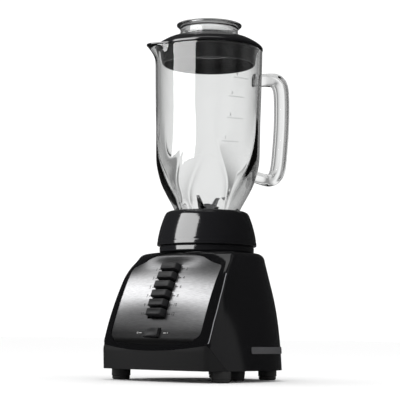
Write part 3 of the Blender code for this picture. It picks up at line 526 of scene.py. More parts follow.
def panel_windows(grow):
    """Cutters for the openings in the panel: one for the column of keys, one for the rocker."""
    middle = KEY_TOP_Z - KEY_PITCH_Z * (KEY_COUNT - 1) / 2
    half = KEY_WIDTH / 2 + grow
    half_column = KEY_PITCH_Z * (KEY_COUNT - 1) / 2 / math.cos(panel_slope(middle)[1]) + KEY_HEIGHT / 2 + grow + 0.8
    column = box((-half, half), (-14.0, 14.0), (-half_column, half_column))
    half_width, half_height = ROCKER_WIDTH / 2 + grow, ROCKER_HEIGHT / 2 + grow
    rocker_hole = box((-half_width, half_width), (-8.0, 8.0), (-half_height, half_height))
    bmesh.ops.transform(column, matrix=on_panel(middle), verts=column.verts)
    bmesh.ops.transform(rocker_hole, matrix=on_panel(ROCKER_Z), verts=rocker_hole.verts)
    return [column, rocker_hole]


satin_black = moulded("satin_black", (0.009, 0.009, 0.0095), 0.46, smear=0.10, smear_scale=35.0, dust=0.05,
                      grain_scale=1500.0, grain_depth=0.03, shine=0.28)
front = combine("INTERSECT", shell, front_prism(-GAP / 2))
chin = combine("INTERSECT", front.copy(), smile_prism(CHIN_SIDE, CHIN_MIDDLE))
fit("chin_moulding", chin, satin_black, "base", ["chin_cover"], bevel=0.5)
pocket = combine("DIFFERENCE", prism(plate_outline(), -130.0, PLATE_BACK, "Y"),
                 base_block(PLATE_RECESS + PLATE_THICKNESS + GAP, 2.0))
surround_frame = combine("DIFFERENCE", front, smile_prism(CHIN_SIDE + GAP, CHIN_MIDDLE + GAP), pocket,
                         *panel_windows(0.7))
fit("front_surround", surround_frame, gloss_black, "base", ["front_frame"], bevel=0.5)

HIGHLIGHT_STRIP_LOW, HIGHLIGHT_STRIP_HIGH, HIGHLIGHT_STRIP_HALF_WIDTH = 40.0, 113.0, 0.36
# Painted highlight: the pale grey of this strip stands in for the light caught along the seam edge.
bead_grey = moulded("bead_grey", (0.22, 0.22, 0.23), 0.30, smear=0.08, smear_scale=60.0, dust=0.02,
                    grain_scale=1500.0, grain_depth=0.01)
# A thin pale grey strip runs down the joint between the surround and the shell; its pale colour is a painted
# highlight along that edge.
highlight_line = [(-depth, z) for depth, z in SIDE_SEAM if 37.0 < z < 123.0]
highlight_outline = [(y - HIGHLIGHT_STRIP_HALF_WIDTH, z) for y, z in highlight_line] + [
    (y + HIGHLIGHT_STRIP_HALF_WIDTH, z) for y, z in reversed(highlight_line)]
highlight_wall = combine("DIFFERENCE", base_block(-0.2), base_block(0.8, 2.0))
fit("seam_bead", combine("INTERSECT", highlight_wall, prism(highlight_outline, -110.0, 110.0, "X"),
                         prism([(-120.0, -120.0), (120.0, -120.0), (120.0, 0.0), (-120.0, 0.0)],
                               HIGHLIGHT_STRIP_LOW, HIGHLIGHT_STRIP_HIGH)), bead_grey, "base", bevel=0.12)

# ---- Steel panel --------------------------------------------------------------------------
# A pressed sheet of brushed stainless steel, 0.8 mm thick, let into the surround. The brushing runs from side to
# side. A height ramp multiplied into the steel's colour paints a highlight band across the middle, and painted shade
# darkens the top and bottom to a darker grey.
drawn_lines, lines_in, lines_out = new_group(
    "drawn_lines", [("Along", "Vector", (20.0, 900.0, 900.0)), ("Detail", "Float", 3.0)],
    [("Height", "Float"), ("Mask", "Float")])
spot = put(drawn_lines, "TexCoord").outputs["Object"]
stretched = put(drawn_lines, "VectorMath", {"operation": "MULTIPLY"}, i0=spot, i1=lines_in.outputs["Along"])
streak = put(drawn_lines, "TexNoise", Vector=stretched.outputs[0], Scale=1.0, Detail=lines_in.outputs["Detail"],
             Roughness=0.7)
contrast = put(drawn_lines, "MapRange", {}, Value=streak.outputs["Fac"], From_Min=0.3, From_Max=0.7)
drawn_lines.links.new(streak.outputs["Fac"], lines_out.inputs["Height"])
drawn_lines.links.new(contrast.outputs[0], lines_out.inputs["Mask"])


def metal(name, dark, bright, roughness, along, depth, smear=0.06, dust=0.02):
    """Brushed, drawn or ground metal: streaks along one direction in colour, gloss and relief."""
    material = bpy.data.materials.new(name)
    material.use_nodes = True
    tree = material.node_tree
    shader = tree.nodes["Principled BSDF"]
    lines = add_group(tree, drawn_lines, Along=along)
    tone = put(tree, "Mix", {"data_type": "RGBA"}, Factor=lines.outputs["Mask"])
    tone.inputs["A"].default_value, tone.inputs["B"].default_value = (*dark, 1.0), (*bright, 1.0)
    marks = add_group(tree, handling, Colour=tone.outputs["Result"], Roughness=roughness, Smear=smear, Dust=dust)
    bump = put(tree, "Bump", Strength=0.5, Distance=depth * MM, Height=lines.outputs["Height"])
    tree.links.new(marks.outputs["Colour"], shader.inputs["Base Color"])
    tree.links.new(marks.outputs["Roughness"], shader.inputs["Roughness"])
    tree.links.new(bump.outputs["Normal"], shader.inputs["Normal"])
    shader.inputs["Metallic"].default_value = 1.0
    material.diffuse_color = (*bright, 1.0)
    return material


brushed_steel = metal("brushed_steel", (0.50, 0.50, 0.51), (0.72, 0.72, 0.73), 0.30, (25.0, 1500.0, 1500.0), 0.006,
                      smear=0.02)
steel_tree = brushed_steel.node_tree
steel_shader = steel_tree.nodes["Principled BSDF"]
steel_tone = steel_shader.inputs["Base Color"].links[0].from_socket
# Painted highlight and shade: a ramp on height darkens the steel's colour towards the bottom and top and leaves a
# bright band across the middle.
panel_height = put(steel_tree, "SeparateXYZ", Vector=put(steel_tree, "TexCoord").outputs["Object"])
painted_sheen_ramp = put(steel_tree, "ValToRGB", Fac=put(
    steel_tree, "MapRange", {}, Value=panel_height.outputs["Z"], From_Min=0.036, From_Max=0.140).outputs[0])
fade = painted_sheen_ramp.color_ramp
fade.elements[0].position, fade.elements[0].color = 0.0, (0.10, 0.10, 0.10, 1)
fade.elements[1].position, fade.elements[1].color = 1.0, (0.16, 0.16, 0.16, 1)
for position, value in ((0.14, 0.13), (0.34, 0.50), (0.50, 1.0), (0.60, 1.0), (0.80, 0.50), (0.92, 0.24)):
    fade.elements.new(position).color = (value, value, value, 1)
sheen_painted_colour = put(steel_tree, "Mix", {"data_type": "RGBA", "blend_type": "MULTIPLY"}, Factor=1.0)
steel_tree.links.new(steel_tone, sheen_painted_colour.inputs["A"])
steel_tree.links.new(painted_sheen_ramp.outputs["Color"], sheen_painted_colour.inputs["B"])
steel_tree.links.new(sheen_painted_colour.outputs["Result"], steel_shader.inputs["Base Color"])
plate = combine("INTERSECT", base_block(PLATE_RECESS, 2.0),
                prism(plate_outline(-GAP), -130.0, PLATE_BACK - GAP, "Y"))
plate = combine("DIFFERENCE", plate, base_block(PLATE_RECESS + PLATE_THICKNESS, 2.0), *panel_windows(0.5))
fit("steel_panel", plate, brushed_steel, "base", ["faceplate"], bevel=0.18)

# ---- Printed marks ------------------------------------------------------------------------
# Screen-printed ink on the steel: a number and a short leader at both ends of every key, and
# a pale on or off sign in a dark oval at both ends of the rocker.
INK_LIFT = 0.03
dark_ink = moulded("dark_ink", (0.015, 0.015, 0.016), 0.45, smear=0.15, smear_scale=600.0, dust=0.0,
                   grain_scale=3000.0, grain_depth=0.004)
pale_ink = moulded("pale_ink", (0.72, 0.72, 0.70), 0.50, smear=0.15, smear_scale=600.0, dust=0.0,
                   grain_scale=3000.0, grain_depth=0.004)


def print_on_panel(name, flat, material, middle_z, lift):
    """Wrap flat artwork (x, up the slope, thickness) onto the curved panel."""
    lean = panel_slope(middle_z)[1]
    for vert in flat.verts:
        x, up, thick = vert.co
        z = middle_z + up * math.cos(lean)
        half, depth, _, bow = softened_section(z)
        surface = depth + bow * (1 - (x / half) ** 2) - PLATE_RECESS
        vert.co = (x, -surface - lift - thick, z + (lift + thick) * math.sin(lean))
    return fit(name, flat, material, "base", sharp=60.0)


def strip(x, up, thickness=0.03, cells=8):
    """A thin flat bar that can follow the panel's bow."""
    xs = [x[0] + (x[1] - x[0]) * i / cells for i in range(cells + 1)]
    return skin([[(u, up[0], 0.0), (u, up[1], 0.0), (u, up[1], thickness), (u, up[0], thickness)] for u in xs])


def oval(x, up, half_x, half_up, thickness=0.03, steps=28):
    ring = [(x + half_x * math.cos(a), up + half_up * math.sin(a))
            for a in (2 * math.pi * i / steps for i in range(steps))]
    return prism(ring, 0.0, thickness)


def numeral(text, size, x, up, thickness=0.03):
    """A number as a thin solid, centred on x and up."""
    curve = bpy.data.curves.new("numeral", "FONT")
    curve.body, curve.size, curve.extrude = text, size, thickness / 2
    curve.align_x, curve.align_y, curve.resolution_u = "CENTER", "CENTER", 3
    holder = bpy.data.objects.new("numeral", curve)
    bpy.context.scene.collection.objects.link(holder)
    evaluated = holder.evaluated_get(bpy.context.evaluated_depsgraph_get())
    bm = bmesh.new()
    bm.from_mesh(evaluated.to_mesh())
    evaluated.to_mesh_clear()
    bpy.data.objects.remove(holder, do_unlink=True)
    bmesh.ops.remove_doubles(bm, verts=bm.verts, dist=0.0005)
    bmesh.ops.translate(bm, vec=(x, up, thickness / 2), verts=bm.verts)
    return bm


def gather(pieces):
    """Put several loose solids into one bmesh."""
    whole = bmesh.new()
    for part in pieces:
        mesh = bpy.data.meshes.new("part")
        part.to_mesh(mesh)
        part.free()
        whole.from_mesh(mesh)
        bpy.data.meshes.remove(mesh)
    return whole


for index in range(KEY_COUNT):
    z = KEY_TOP_Z - KEY_PITCH_Z * index
    for side, label in ((-1, "left"), (1, "right")):
        number = 2 * index + (1 if side < 0 else 2)
        near, far = sorted((side * 14.0, side * 18.0))
        artwork = gather([strip((near, far), (-1.7, -0.8)), numeral(str(number), 5.0, side * 21.2, -1.2)])
        print_on_panel(f"key_mark_{index + 1}_{label}", artwork, dark_ink, z, INK_LIFT)
for side, label, sign in ((-1, "left", "O"), (1, "right", "I")):
    print_on_panel(f"rocker_oval_{label}", oval(side * 18.5, -0.6, 5.6, 2.3), dark_ink, ROCKER_Z, INK_LIFT)
    artwork = gather([numeral(sign, 2.8, side * 20.6, -0.6),
                      strip(sorted((side * 15.0, side * 18.4)), (-0.85, -0.35))])
    print_on_panel(f"rocker_sign_{label}", artwork, pale_ink, ROCKER_Z, INK_LIFT * 3)

# ---- Push keys ----------------------------------------------------------------------------
# Six satin black keys in a column. Each is a moulded bar with a finger dish along its face,
# ramped ends and a stem at the back that reaches the switch.
key_black = moulded("key_black", (0.013, 0.013, 0.014), 0.38, smear=0.12, smear_scale=90.0, dust=0.06,
                    grain_scale=2200.0, grain_depth=0.02)
KEY_ROUND = 0.9


def key_bar(half, height, reach_at, back, corner=KEY_ROUND, stations=30, corner_steps=4):
    """Bar along X whose face stands out by reach_at(x), with its two front long edges rounded."""
    rings = []
    for i in range(stations + 1):
        t = i / stations
        x = half * math.copysign(1 - (1 - abs(2 * t - 1)) ** 1.6, 2 * t - 1)
        face = -reach_at(x)
        end = max(0.0, abs(x) - (half - corner))
        shrink = corner - math.sqrt(max(corner ** 2 - end ** 2, 0.0))
        half_high = height / 2 - shrink
        ring = [(x, back, half_high)]
        dish = 0.35 * max(0.0, 1 - (x / (half * 0.8)) ** 2)
        for k in range(corner_steps + 1):
            a = math.pi / 2 * k / corner_steps
            ring.append((x, face + corner - corner * math.sin(a), half_high - corner + corner * math.cos(a)))
        for k in range(1, 6):
            v = 1 - 2 * k / 6
            ring.append((x, face + dish * (1 - v * v), v * (half_high - corner)))
        for k in reversed(range(corner_steps + 1)):
            a = math.pi / 2 * k / corner_steps
            ring.append((x, face + corner - corner * math.sin(a), -half_high + corner - corner * math.cos(a)))
        ring.append((x, back, -half_high))
        rings.append(ring)
    return skin(rings)


def key_reach(x):
    """How far a key's face stands out of the panel at one point along it."""
    past = abs(x) - KEY_PLATEAU / 2
    ramp = max(0.0, past) / (KEY_WIDTH / 2 - KEY_PLATEAU / 2)
    return KEY_STAND - (KEY_STAND - 3.0) * min(1.0, ramp) ** 1.3


for index in range(KEY_COUNT):
    place = on_panel(KEY_TOP_Z - KEY_PITCH_Z * index)
    bar = key_bar(KEY_WIDTH / 2 - 0.1, KEY_HEIGHT - 0.1, key_reach, 6.0)
    stem = box((-6.0, 6.0), (5.0, KEY_STEM), (-1.6, 1.6))
    fit(f"push_key_{index + 1}", combine("UNION", bar, stem), key_black, f"key_{index + 1}",
        [f"key_{index + 1}"], place=place)

# ---- Rocker -------------------------------------------------------------------------------
# The on and off rocker, in the same satin plastic as the keys. It is a shallow saddle that
# rests with its left end pressed in, above a switch body inside the housing.
ROCKER_TILT = math.radians(14)


def rocker_reach(x):
    """Face of the rocker: two slopes that meet over its pivot, with a low ridge at each end."""
    run = abs(x) / (ROCKER_WIDTH / 2)
    return ROCKER_STAND + 1.1 * (1 - run ** 1.5) + 0.25 * max(0.0, run - 0.8) * 5


rocker_place = on_panel(ROCKER_Z, 2.0) @ Matrix.Rotation(-ROCKER_TILT / 2, 4, "Z")
fit("rocker_cap", key_bar(ROCKER_WIDTH / 2 - 0.35, ROCKER_HEIGHT - 0.1, rocker_reach, 5.0), key_black, "rocker",
    ["rocker_key"], place=rocker_place)

# ---- Rear strip, cord inlet and feet ------------------------------------------------------
# A grey soft-feel strip wraps the back of the shell. The cord inlet is a ribbed rubber sleeve, and the blender
# stands on turned rubber feet and a moulded heel.
grey_trim = moulded("grey_trim", (0.055, 0.055, 0.058), 0.38, smear=0.08, smear_scale=40.0, dust=0.08,
                    grain_scale=1500.0, grain_depth=0.03)
STRIP_LOW, STRIP_HIGH, STRIP_START = 29.8, 37.0, -25.0
band = combine("DIFFERENCE", base_block(-1.0), base_block(-0.3, 2.0))
strip_end = [(STRIP_START + 2.0 * (1 - math.sin(a)), (STRIP_LOW + STRIP_HIGH) / 2
              + (STRIP_HIGH - STRIP_LOW) / 2 * math.copysign(abs(math.cos(a)) ** 0.5, math.cos(a)))
             for a in (math.pi * i / 10 for i in range(11))]
strip_outline = [(120.0, STRIP_HIGH)] + strip_end + [(120.0, STRIP_LOW)]
fit("rear_band", combine("INTERSECT", band, prism(strip_outline, -120.0, 120.0, "X")), grey_trim, "base",
    ["rear_strip"], bevel=0.25)

rubber = moulded("foot_rubber", (0.018, 0.018, 0.018), 0.78, smear=0.10, smear_scale=60.0, dust=0.25,
                 grain_scale=900.0, grain_depth=0.08)


def rounded(profile, radius, steps=3):
    """Round every corner of a closed profile with a short arc of at most that radius."""
    points = []
    count = len(profile)
    for i, here in enumerate(profile):
        before, after = Vector(profile[i - 1]), Vector(profile[(i + 1) % count])
        here = Vector(here)
        back, ahead = before - here, after - here
        reach_back = here + back.normalized() * min(radius, back.length * 0.45)
        reach_ahead = here + ahead.normalized() * min(radius, ahead.length * 0.45)
        for k in range(steps + 1):
            t = k / steps
            points.append(tuple(reach_back * (1 - t) ** 2 + here * 2 * t * (1 - t) + reach_ahead * t * t))
    return points


GLAND_REACH = (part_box("cord_gland")[1].y - AXIS_Y) / MM - 0.02
wall = section_at(GLAND_Z)[2]
sleeve = [(3.35, wall - 7.9), (6.4, wall - 7.9), (6.4, wall - WALL - 1.7), (4.9, wall - WALL - 1.7),
          (4.9, wall + 0.95), (6.4, wall + 0.95), (6.3, wall + 1.9), (5.4, wall + 2.1), (5.4, wall + 2.6),
          (5.9, wall + 2.8), (5.0, GLAND_REACH), (3.35, GLAND_REACH)]
fit("cord_sleeve", turned(rounded(sleeve, 0.25), 48), rubber, "base", ["cord_gland"], place=gland_place)

foot_profile = [(0.6, 0.55), (5.2, 0.55), (5.6, 0.02), (8.0, 0.02), (9.5, 1.0), (9.7, 2.6), (9.3, 3.1), (9.3, 3.7),
                (10.2, 4.2), (10.25, FLOOR_GAP - GAP), (0.6, FLOOR_GAP - GAP)]
for name in ("foot_front_left", "foot_front_right", "foot_rear_left", "foot_rear_right"):
    low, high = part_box(name)
    middle = (low + high) / 2
    place = Matrix.Translation((middle.x / MM, (middle.y - AXIS_Y) / MM, 0.0))
    foot = skin([[(r * math.cos(a), r * math.sin(a), z) for a in (2 * math.pi * i / 64 for i in range(64))]
                 for r, z in rounded(foot_profile, 0.5)[2:-2]])
    fit(f"{name}_pad", foot, rubber, "base", [name], place=place)

heel_low, heel_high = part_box("foot_heel")
heel_middle = (heel_low + heel_high) / 2
HEEL_HALF_X, HEEL_HALF_Y = 9.0, 7.0


def round_corners(half_x, half_y, radius, steps=6):
    points = []
    for quarter, (sx, sy) in enumerate(((1, 1), (-1, 1), (-1, -1), (1, -1))):
        for i in range(steps + 1):
            a = math.pi / 2 * (quarter + i / steps)
            points.append((sx * (half_x - radius) + radius * math.cos(a),
                           sy * (half_y - radius) + radius * math.sin(a)))
    return points


heel_rings = []
for z, shrink in ((1.62, 1.8), (1.75, 1.3), (2.4, 1.0), (6.0, 0.6), (9.5, 0.2), (FLOOR_GAP - 0.12, 0.05)):
    ring = round_corners(HEEL_HALF_X - shrink, HEEL_HALF_Y - shrink * 0.5, 4.6)
    heel_rings.append([(x, y, z) for x, y in ring])
fit("heel_block", skin(heel_rings), satin_black, "base", ["foot_heel"],
    place=Matrix.Translation((heel_middle.x / MM, (heel_middle.y - AXIS_Y) / MM, 0.0)))

# ---- Underside ----------------------------------------------------------------------------
# A satin cover with breathing slots closes the casing, held by four cross-head screws.
zinc_steel = metal("zinc_steel", (0.42, 0.42, 0.43), (0.62, 0.62, 0.63), 0.28, (400.0, 400.0, 90.0), 0.004)
cover = frame["nodes"]["bottom_cover"]
cover.data.materials.clear()
cover.data.materials.append(satin_black)
for index in range(1, 5):
    low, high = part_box(f"cover_screw_{index}")
    middle = (low + high) / 2
    head = [(0.4, 11.02), (2.8, 11.05), (3.3, 11.2), (3.55, 11.5), (3.55, 11.88), (0.4, 11.88)]
    screw = skin([[(r * math.cos(a), r * math.sin(a), z) for a in (2 * math.pi * i / 40 for i in range(40))]
                  for r, z in head])
    cross = [box((-1.9, 1.9), (-0.32, 0.32), (8.0, 11.35)), box((-0.32, 0.32), (-1.9, 1.9), (8.0, 11.35))]
    fit(f"cover_screw_head_{index}", combine("DIFFERENCE", screw, *cross), zinc_steel, "base",
        [f"cover_screw_{index}"], bevel=0.08,
        place=Matrix.Translation((middle.x / MM, (middle.y - AXIS_Y) / MM, 0.0)))

# ---- Jar seat -----------------------------------------------------------------------------
# The raised ring on the deck that the jar's collar drops over. It is part of the gloss black
# plastic family and has a dished middle round the drive stud.
seat = [(9.6, 138.3), (51.0, 138.3), (52.0, 139.6), (52.0, 144.4), (51.2, 145.6), (50.2, 145.7), (46.5, 145.7),
        (45.6, 141.2), (36.0, 141.2), (35.4, 141.9), (33.6, 141.9), (33.0, 141.2), (22.0, 141.2), (19.5, 144.4),
        (9.6, 144.4)]
fit("seat_ring", turned(rounded(seat, 0.5)), gloss_black, "base", ["jar_seat"])

# ---- Collar -------------------------------------------------------------------------------
# The screw collar that clamps glass, gasket and blade unit together. It is gloss black, waisted
# towards the top, with a stepped foot that stands on the seat ring.
collar = [(48.6, 146.0), (54.5, 146.0), (54.9, 146.8), (54.6, 150.2), (54.2, 151.0), (54.2, 153.0), (53.3, 158.0),
          (52.2, 163.0), (51.0, 167.5), (49.6, 172.0), (48.3, 175.6), (47.0, 179.0), (45.9, 181.2), (44.6, 182.8),
          (42.0, 184.0), (38.0, 184.38), (36.6, 184.2), (36.2, 183.4), (36.2, 163.6), (17.0, 163.6), (17.0, 160.2),
          (38.0, 160.2), (47.6, 152.0)]
fit("screw_collar", turned(rounded(collar, 0.4)), gloss_black, "collar_unit", ["jar_collar"],
    sharp=40.0)

# ---- Blade unit ---------------------------------------------------------------------------
# Two ground stainless blades on a steel shaft, held by a domed hexagon nut over a turned
# plastic housing. A soft black ring seals the housing against the foot of the glass.
ground_steel = metal("ground_steel", (0.40, 0.40, 0.41), (0.66, 0.66, 0.67), 0.22, (600.0, 60.0, 600.0), 0.006)
housing_black = moulded("housing_black", (0.02, 0.02, 0.021), 0.34, smear=0.08, dust=0.03, grain_scale=1400.0,
                        grain_depth=0.03)
RUNNING = 4.05
housing = [(RUNNING, 159.0), (14.5, 159.0), (16.4, 160.6), (16.4, 163.9), (33.0, 163.9), (33.0, 166.2),
           (24.0, 166.4), (20.0, 166.9), (16.0, 168.8), (12.6, 171.6), (10.2, 175.0), (8.7, 178.0), (8.2, 178.6),
           (RUNNING, 178.6)]
fit("blade_bearing", turned(rounded(housing, 0.3)), housing_black, "collar_unit",
    ["blade_housing"])
seal = [(25.2, 166.95), (33.8, 166.95), (34.4, 167.9), (33.8, 169.25), (25.8, 169.25)]
fit("sealing_ring", turned(rounded(seal, 0.6)), rubber, "gasket", ["jar_gasket"])


def ground_blade(z, reaches, rises, half_widths, thickness=1.5):
    """Two-armed blade along X: a flat hub, arms that bend and taper, and one ground edge each."""
    half = list(zip(reaches, rises, half_widths))
    stations = []
    for (x0, h0, w0), (x1, h1, w1) in zip(half, half[1:]):
        for i in range(6):
            t = i / 6
            stations.append((x0 + (x1 - x0) * t, h0 + (h1 - h0) * t, w0 + (w1 - w0) * t))
    stations.append(half[-1])
    path = [(-x, h, w) for x, h, w in reversed(stations)] + stations
    rings = []
    for x, rise, wide in path:
        lead = 1 if x > 0 else -1
        ground = min(1.0, max(0.0, (abs(x) - reaches[0]) / 2.0)) * 0.6
        low, high = z + rise, z + rise + thickness
        edge = lead * wide
        rings.append([(x, -edge, low), (x, edge * 0.45, low), (x, edge, low + 0.02),
                      (x, edge, high - ground * thickness), (x, edge * 0.45, high), (x, -edge, high)])
    hub = turned([(7.6, z), (7.6, z + thickness)], 48, closed=False)
    hole = turned([(4.3, z - 10), (4.3, z + 10)], 40, closed=False)
    return combine("DIFFERENCE", combine("UNION", skin(rings), hub), hole)


fit("blade_lower", ground_blade(181.4, (8.0, 11.0, 20.9), (0.0, 2.6, 6.0), (6.4, 4.6, 2.0)), ground_steel, "blades",
    ["lower_blade"], bevel=0.08, place=Matrix.Rotation(math.radians(-20), 4, "Z"))
fit("blade_upper", ground_blade(184.4, (8.0, 10.0, 17.9), (0.0, 2.2, 16.0), (6.4, 4.6, 2.0)), ground_steel, "blades",
    ["upper_blade"], bevel=0.08, place=Matrix.Rotation(math.radians(95), 4, "Z"))
hexagon = [(7.2 * math.cos(a), 7.2 * math.sin(a)) for a in (math.pi / 3 * i for i in range(6))]
dome = turned([(6.38, 186.0), (6.38, 190.2), (6.0, 191.6), (5.0, 192.8), (3.4, 193.6), (1.4, 193.97), (0.3, 194.0)],
              48, closed=False)
nut = combine("INTERSECT", prism(hexagon, 186.6, 196.0), dome)
nut = combine("DIFFERENCE", nut, turned([(4.3, 180.0), (4.3, 189.3)], 40, closed=False))
fit("dome_nut", nut, ground_steel, "blades", ["blade_nut"], bevel=0.15)

# ---- Glass jar ----------------------------------------------------------------------------
# Heavy pressed glass: four broad petals swell out of the foot and fade into a plain upper wall,
# with a pouring lip opposite a thick grooved handle that is pressed in one piece with it.
JAR_BOTTOM, JAR_RIM, GLASS_WALL = 169.6, 365.2, 3.8
NECK_RADIUS, RIM_RADIUS, SPOUT_REACH = 34.6, 59.8, 72.0
JAR_TURN = math.radians(60)
PETAL_DEPTH, CREASE_SPREAD, GAP_BEARING = 2.7, 6.5, 14.5
SPOUT_LOW, SPOUT_SPREAD = 347.0, 22.0
JAR_PROFILE = (
    (JAR_BOTTOM, NECK_RADIUS), (183.0, NECK_RADIUS + 0.6), (190.0, 38.2), (202.0, 44.8), (215.0, 51.2),
    (232.0, 56.0), (245.0, 57.6), (287.0, 58.2), (330.0, 59.2), (JAR_RIM, RIM_RADIUS),
)


def smooth_through(points, at):
    """Smooth curve through (position, value) points."""
    for k in range(len(points) - 1):
        if at <= points[k + 1][0]:
            break
    (x0, y0), (x1, y1) = points[k], points[k + 1]
    xa, ya = points[max(k - 1, 0)]
    xb, yb = points[min(k + 2, len(points) - 1)]
    span = x1 - x0
    t = (at - x0) / span
    slope_in, slope_out = (y1 - ya) / (x1 - xa), (yb - y0) / (xb - x0)
    h00, h10 = (1 + 2 * t) * (1 - t) ** 2, t * (1 - t) ** 2
    h01, h11 = t * t * (3 - 2 * t), t * t * (t - 1)
    return h00 * y0 + h10 * span * slope_in + h01 * y1 + h11 * span * slope_out


def jar_radius(z):
    return smooth_through(JAR_PROFILE, min(max(z, JAR_BOTTOM), JAR_RIM))


def spout_swell(angle, z):
    """How far the pouring lip stands out of the round jar; the lip is on local -X."""
    away = abs((math.degrees(angle)) % 360.0 - 180.0)
    width = max(0.0, 1.0 - (away / SPOUT_SPREAD) ** 2) ** 2
    climb = max(0.0, min(1.0, (z - SPOUT_LOW) / (JAR_RIM - SPOUT_LOW)))
    return (SPOUT_REACH - RIM_RADIUS) * width * climb ** 1.7


def petal_dip(angle, z):
    """Depth of the creases: each gap between two petals is narrow at the foot and widens upwards."""
    rise = max(0.0, min(1.0, (z - 182.0) / 20.0))
    fall = max(0.0, min(1.0, (300.0 - z) / 70.0))
    spread = max(0.0, min(1.0, (z - 192.0) / 80.0))
    half_gap = 5.0 + 25.0 * spread * spread * (3 - 2 * spread)
    from_gap = (math.degrees(angle) - GAP_BEARING + 45.0) % 90.0 - 45.0
    off_crease = abs(abs(from_gap) - half_gap)
    crease = math.exp(-(off_crease / CREASE_SPREAD) ** 1.2)
    return PETAL_DEPTH * rise * rise * (3 - 2 * rise) * fall ** 1.2 * crease


JAR_SEGMENTS = 240
jar_angles = [2 * math.pi * i / JAR_SEGMENTS for i in range(JAR_SEGMENTS)]
outer_heights = [JAR_BOTTOM + 0.6, 173.0, 177.0, 181.0] + [184.0 + 3.0 * i for i in range(54)] + [
    345.0, 348.0, 350.5, 353.0, 355.5, 358.0, 360.5, 362.5, 364.3]


def jar_ring(z, inset, height=None, petals=True):
    """One level of the glass, inset from its outside; only the outside has petals."""
    ring = []
    for a in jar_angles:
        reach = jar_radius(z) - inset + spout_swell(a, z)
        if petals:
            reach -= petal_dip(a, z)
        ring.append((reach * math.cos(a), reach * math.sin(a), z if height is None else height))
    return ring


rings = [jar_ring(JAR_BOTTOM, 0.8)] + [jar_ring(z, 0.0) for z in outer_heights]
rings += [jar_ring(JAR_RIM, 0.45, 365.0), jar_ring(JAR_RIM, 1.3), jar_ring(JAR_RIM, GLASS_WALL - 1.3),
          jar_ring(JAR_RIM, GLASS_WALL - 0.45, 365.0)]
rings += [jar_ring(z, GLASS_WALL, petals=False) for z in reversed(outer_heights)]
rings += [jar_ring(JAR_BOTTOM, GLASS_WALL - 0.8)]
jar = skin(rings, closed=True)

HANDLE_ROUTE = (
    (57.6, 336.0, 6.6, 7.4), (62.0, 336.6, 6.5, 7.1), (70.0, 337.6, 6.8, 7.2), (80.0, 337.8, 8.4, 7.6),
    (85.2, 334.6, 9.3, 7.6), (88.2, 328.0, 9.8, 7.5), (89.3, 318.0, 9.9, 7.4), (89.6, 300.0, 9.9, 7.3),
    (89.1, 280.0, 9.9, 7.3),
    (87.6, 258.0, 9.9, 7.3), (85.8, 240.0, 9.9, 7.3), (83.0, 230.0, 9.8, 7.2), (77.4, 223.8, 9.0, 6.8),
    (69.0, 223.6, 6.8, 6.4), (60.0, 225.6, 6.5, 6.2), (53.2, 226.9, 6.6, 6.2),
)
route = []
for k in range(len(HANDLE_ROUTE) - 1):
    p0, p1 = Vector(HANDLE_ROUTE[max(k - 1, 0)]), Vector(HANDLE_ROUTE[k])
    p2, p3 = Vector(HANDLE_ROUTE[k + 1]), Vector(HANDLE_ROUTE[min(k + 2, len(HANDLE_ROUTE) - 1)])
    for i in range(6):
        t = i / 6
        route.append(0.5 * (2 * p1 + (p2 - p0) * t + (2 * p0 - 5 * p1 + 4 * p2 - p3) * t * t
                            + (3 * p1 - p0 - 3 * p2 + p3) * t ** 3))
route.append(Vector(HANDLE_ROUTE[-1]))
HANDLE_SIDES, GROOVE_DEPTH = 48, 1.1
handle_rings = []
for k, (reach, z, half_wide, half_thick) in enumerate(route):
    before, after = route[max(k - 1, 0)], route[min(k + 1, len(route) - 1)]
    along = Vector((after[0] - before[0], 0.0, after[1] - before[1])).normalized()
    across = Vector((0.0, 1.0, 0.0))
    outward = across.cross(along)
    grip = max(0.0, min(1.0, (reach - 74.0) / 8.0))
    ring = []
    for i in range(HANDLE_SIDES):
        a = 2 * math.pi * (i + 0.5) / HANDLE_SIDES
        u = math.copysign(abs(math.cos(a)) ** 0.62, math.cos(a)) * half_wide
        v = math.copysign(abs(math.sin(a)) ** 0.62, math.sin(a)) * half_thick
        v -= math.copysign(GROOVE_DEPTH * grip * math.exp(-(u / 2.6) ** 2), v)
        u -= math.copysign(0.8 * grip * math.exp(-(v / 2.2) ** 2), u)
        ring.append(Vector((reach, 0.0, z)) + across * u + outward * v)
    handle_rings.append(ring)
handle = skin(handle_rings)


def see_through(name, colour, roughness, smear, smear_scale, dust=0.0):
    """Clear glass or plastic with handling marks; gives back its node tree too."""
    material = bpy.data.materials.new(name)
    material.use_nodes = True
    tree = material.node_tree
    shader = tree.nodes["Principled BSDF"]
    shader.inputs["Transmission Weight"].default_value = 1.0
    marks = add_group(tree, handling, Colour=(*colour, 1.0), Roughness=roughness, Smear=smear,
                      Smear_Scale=smear_scale, Dust=dust)
    tree.links.new(marks.outputs["Colour"], shader.inputs["Base Color"])
    tree.links.new(marks.outputs["Roughness"], shader.inputs["Roughness"])
    return material, tree, shader


def moulding_flow(tree, shader, scale, flow_scale, flow, depth):
    """The faint waviness that a mould leaves in a clear surface."""
    waves = add_group(tree, grain, Scale=scale, Flow_Scale=flow_scale, Flow=flow)
    bump = put(tree, "Bump", Strength=0.25, Distance=depth * MM, Height=waves.outputs["Height"])
    tree.links.new(bump.outputs["Normal"], shader.inputs["Normal"])


